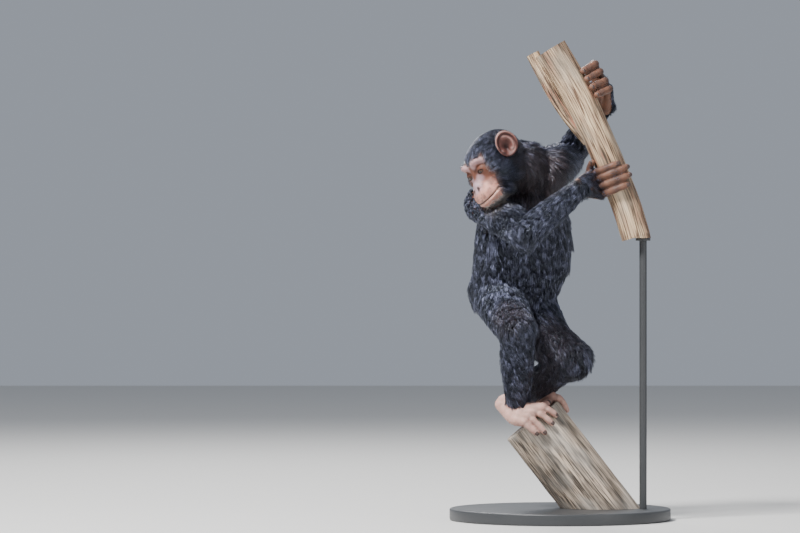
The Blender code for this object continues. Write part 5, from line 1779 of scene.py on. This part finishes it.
def eye_object(name, hand):
    """Make one eyeball of rings round its line of sight, with colours by ring."""
    centre = head_to_world(np.array(EYE_PLACE) * (1, hand, 1))[0]
    look = unit(np.array(GAZE) @ HEAD_AXES + (hand * 0.04) * HEAD_LEFT)
    first, second = ring_frame(look)
    turns = np.linspace(0, 2 * np.pi, EYE_SIDES, endpoint=False)
    around = np.outer(np.cos(turns), first) + np.outer(np.sin(turns), second)
    rings, colours = [], []
    for angle in np.linspace(1.5, 178.5, EYE_RINGS):
        tilt = math.radians(angle)
        bulge = 0.0007 * math.exp(-(angle / 30.0) ** 2)
        reach = EYE_RADIUS - EYE_SINK + bulge
        rings.append(centre + look * reach * math.cos(tilt) + reach * math.sin(tilt) * around)
        ray = 1 + 0.18 * np.sin(turns * 17 + angle)[:, None]
        iris = np.array(IRIS_BROWN) * ray * (0.5 + 0.6 * angle / IRIS_ANGLE)
        white = np.tile(WHITE_OF_EYE, (EYE_SIDES, 1))
        edge = smooth_step(np.full(EYE_SIDES, angle), IRIS_ANGLE - 4, IRIS_ANGLE + 1)[:, None]
        hole = smooth_step(np.full(EYE_SIDES, angle), PUPIL_ANGLE + 1.5, PUPIL_ANGLE - 1.5)[:, None]
        colours.append((iris * (1 - edge) + white * edge) * (1 - hole) + PUPIL_DARK * hole)
    points, faces = skin_rings(rings)
    made = add_mesh(name, points, faces)
    face_outwards(made)
    paint_points(made, np.clip(np.concatenate(colours), 0, 1))
    select_only(made)
    bpy.ops.object.shade_smooth()
    return made


print("iris as wide as", round(2 * EYE_RADIUS * math.sin(math.radians(IRIS_ANGLE)) * 1000, 1), "mm")

# %% [markdown]
# Nails
#
# Every finger and toe ends in a dark nail. It is a thin plate bent over the last joint, on the
# side that faces away from the wood that the digit grips.

# %% Nails on all twenty digits
NAIL_BROWN = (0.075, 0.045, 0.038, 1)
NAIL_LEAN = 0.004 * np.array([0.0, -1.0, 1.0])


def nail_mesh(path, radii, outward):
    """Return points and faces of one nail: a thin plate bent over the end of a digit."""
    run = unit(path[-1] - path[-2])
    up = unit(outward - run * np.dot(outward, run))
    side = np.cross(run, up)
    rings = []
    for share in np.linspace(-0.75, 0.80, 7):
        rest = math.sqrt(1 - 0.85 * max(share, 0.0) ** 2)
        angles = np.linspace(-0.80, 0.80, 7) * (1 - 0.35 * share ** 2)
        arc = np.outer(np.cos(angles), up) + np.outer(np.sin(angles), side)
        middle = path[-1] + run * radii[-1] * share
        rings.append(np.concatenate([middle + arc * (radii[-1] * rest + 0.0006),
                                     middle + arc[::-1] * (radii[-1] * rest - 0.0008)]))
    return skin_rings(rings)


nail_parts = []
for name in ("fingers_right", "fingers_left", "toes_right", "toes_left"):
    for path, radii in RODS[name]:
        tip = path[-1]
        hold = (trunk_axis(tip[2]) if name.startswith("fingers")
                else STUMP_FACE + STUMP_FACING * np.dot(tip - STUMP_FACE, STUMP_FACING))
        nail_parts.append(nail_mesh(path, radii, tip - hold + NAIL_LEAN))
starts = np.cumsum([0] + [len(points) for points, _ in nail_parts])
nails = add_mesh("nails", [point for points, _ in nail_parts for point in points],
                 [tuple(int(corner + start) for corner in face)
                  for (_, faces), start in zip(nail_parts, starts) for face in faces])
nail_material, _, _, nail_shader = new_material("nail_horn")
set_inputs(nail_shader, {"Base Color": NAIL_BROWN, "Roughness": 0.3})
nails.data.materials.append(nail_material)
select_only(nails)
bpy.ops.object.shade_smooth()
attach(nails, "root")
print("nails:", len(nail_parts))

# %% [markdown]
# The eyes in their sockets
#
# The skin is open over each eye, and the ball sits a little behind the lids. Its material takes
# the colours of its points and lays a thin clear coat over them.

# %% Set the eyes in
def eye_material():
    """Make the wet eye: colours of its points under a clear coat."""
    material, nodes, links, shader = new_material("eye_wet")
    links.new(point_colour(nodes), shader.inputs["Base Color"])
    set_inputs(shader, {"Roughness": 0.16, "Specular IOR Level": 0.25,
                        "Coat Weight": 0.35, "Coat Roughness": 0.04})
    return material


wet = eye_material()
for name, hand in (("left", 1), ("right", -1)):
    eye = eye_object("eyeball_" + name, hand)
    eye.data.materials.append(wet)
    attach(eye, "root")
    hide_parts("eye_" + name)
print("eyes: 2")

# %% [markdown]
# Camera, floor and light
#
# The photo was taken from far off with a long lens, level with the animal's belly. A lamp above,
# a weak wide one from the side and one behind, under a pale blue sky, show the form of black hair.

# %% Camera
camera_data = bpy.data.cameras.new("camera")
camera = bpy.data.objects.new("camera", camera_data)
bpy.context.collection.objects.link(camera)
camera.location = (-0.304, -8.0, 0.481)
camera.rotation_euler = (math.pi / 2, 0.0, 0.0)
camera_data.lens = 189.5
camera_data.sensor_width = 36.0
camera_data.clip_start = 0.5
bpy.context.scene.camera = camera
print("camera", round(-camera.location[1], 2), "m off, lens", camera_data.lens, "mm")

# %% Floor
bpy.ops.mesh.primitive_plane_add(size=14.0, location=(0, 2.0, 0))
floor = bpy.context.object
floor.name = "floor"
floor_material, _, _, floor_shader = new_material("pale_floor")
set_inputs(floor_shader, {"Base Color": (0.62, 0.61, 0.59, 1), "Roughness": 0.8})
floor.data.materials.append(floor_material)
print("floor", round(floor.dimensions[0], 1), "m wide")

# %% Lamps and sky
SKY = (0.74, 0.81, 0.93, 1)


def add_lamp(name, place, size, power, aim=(-0.1, 0.0, 0.5)):
    """Add a square area lamp that faces the model."""
    data = bpy.data.lights.new(name, "AREA")
    data.size, data.energy = size, power
    lamp = bpy.data.objects.new(name, data)
    bpy.context.collection.objects.link(lamp)
    lamp.location = place
    away = np.array(place) - np.array(aim)
    flat = math.hypot(away[0], away[1])
    lamp.rotation_euler = (math.atan2(flat, away[2]), 0.0, math.atan2(away[1], away[0]) + math.pi / 2)
    return lamp


add_lamp("key", (-1.7, -1.8, 3.4), 0.9, 330)
add_lamp("fill", (2.8, -2.6, 1.4), 2.6, 35)
add_lamp("back", (-0.8, 2.6, 3.0), 1.4, 110)
world = bpy.data.worlds.new("studio")
world.use_nodes = True
set_inputs(world.node_tree.nodes["Background"], {"Color": SKY, "Strength": 0.42})
bpy.context.scene.world = world
print("lamps:", len(bpy.data.lights))
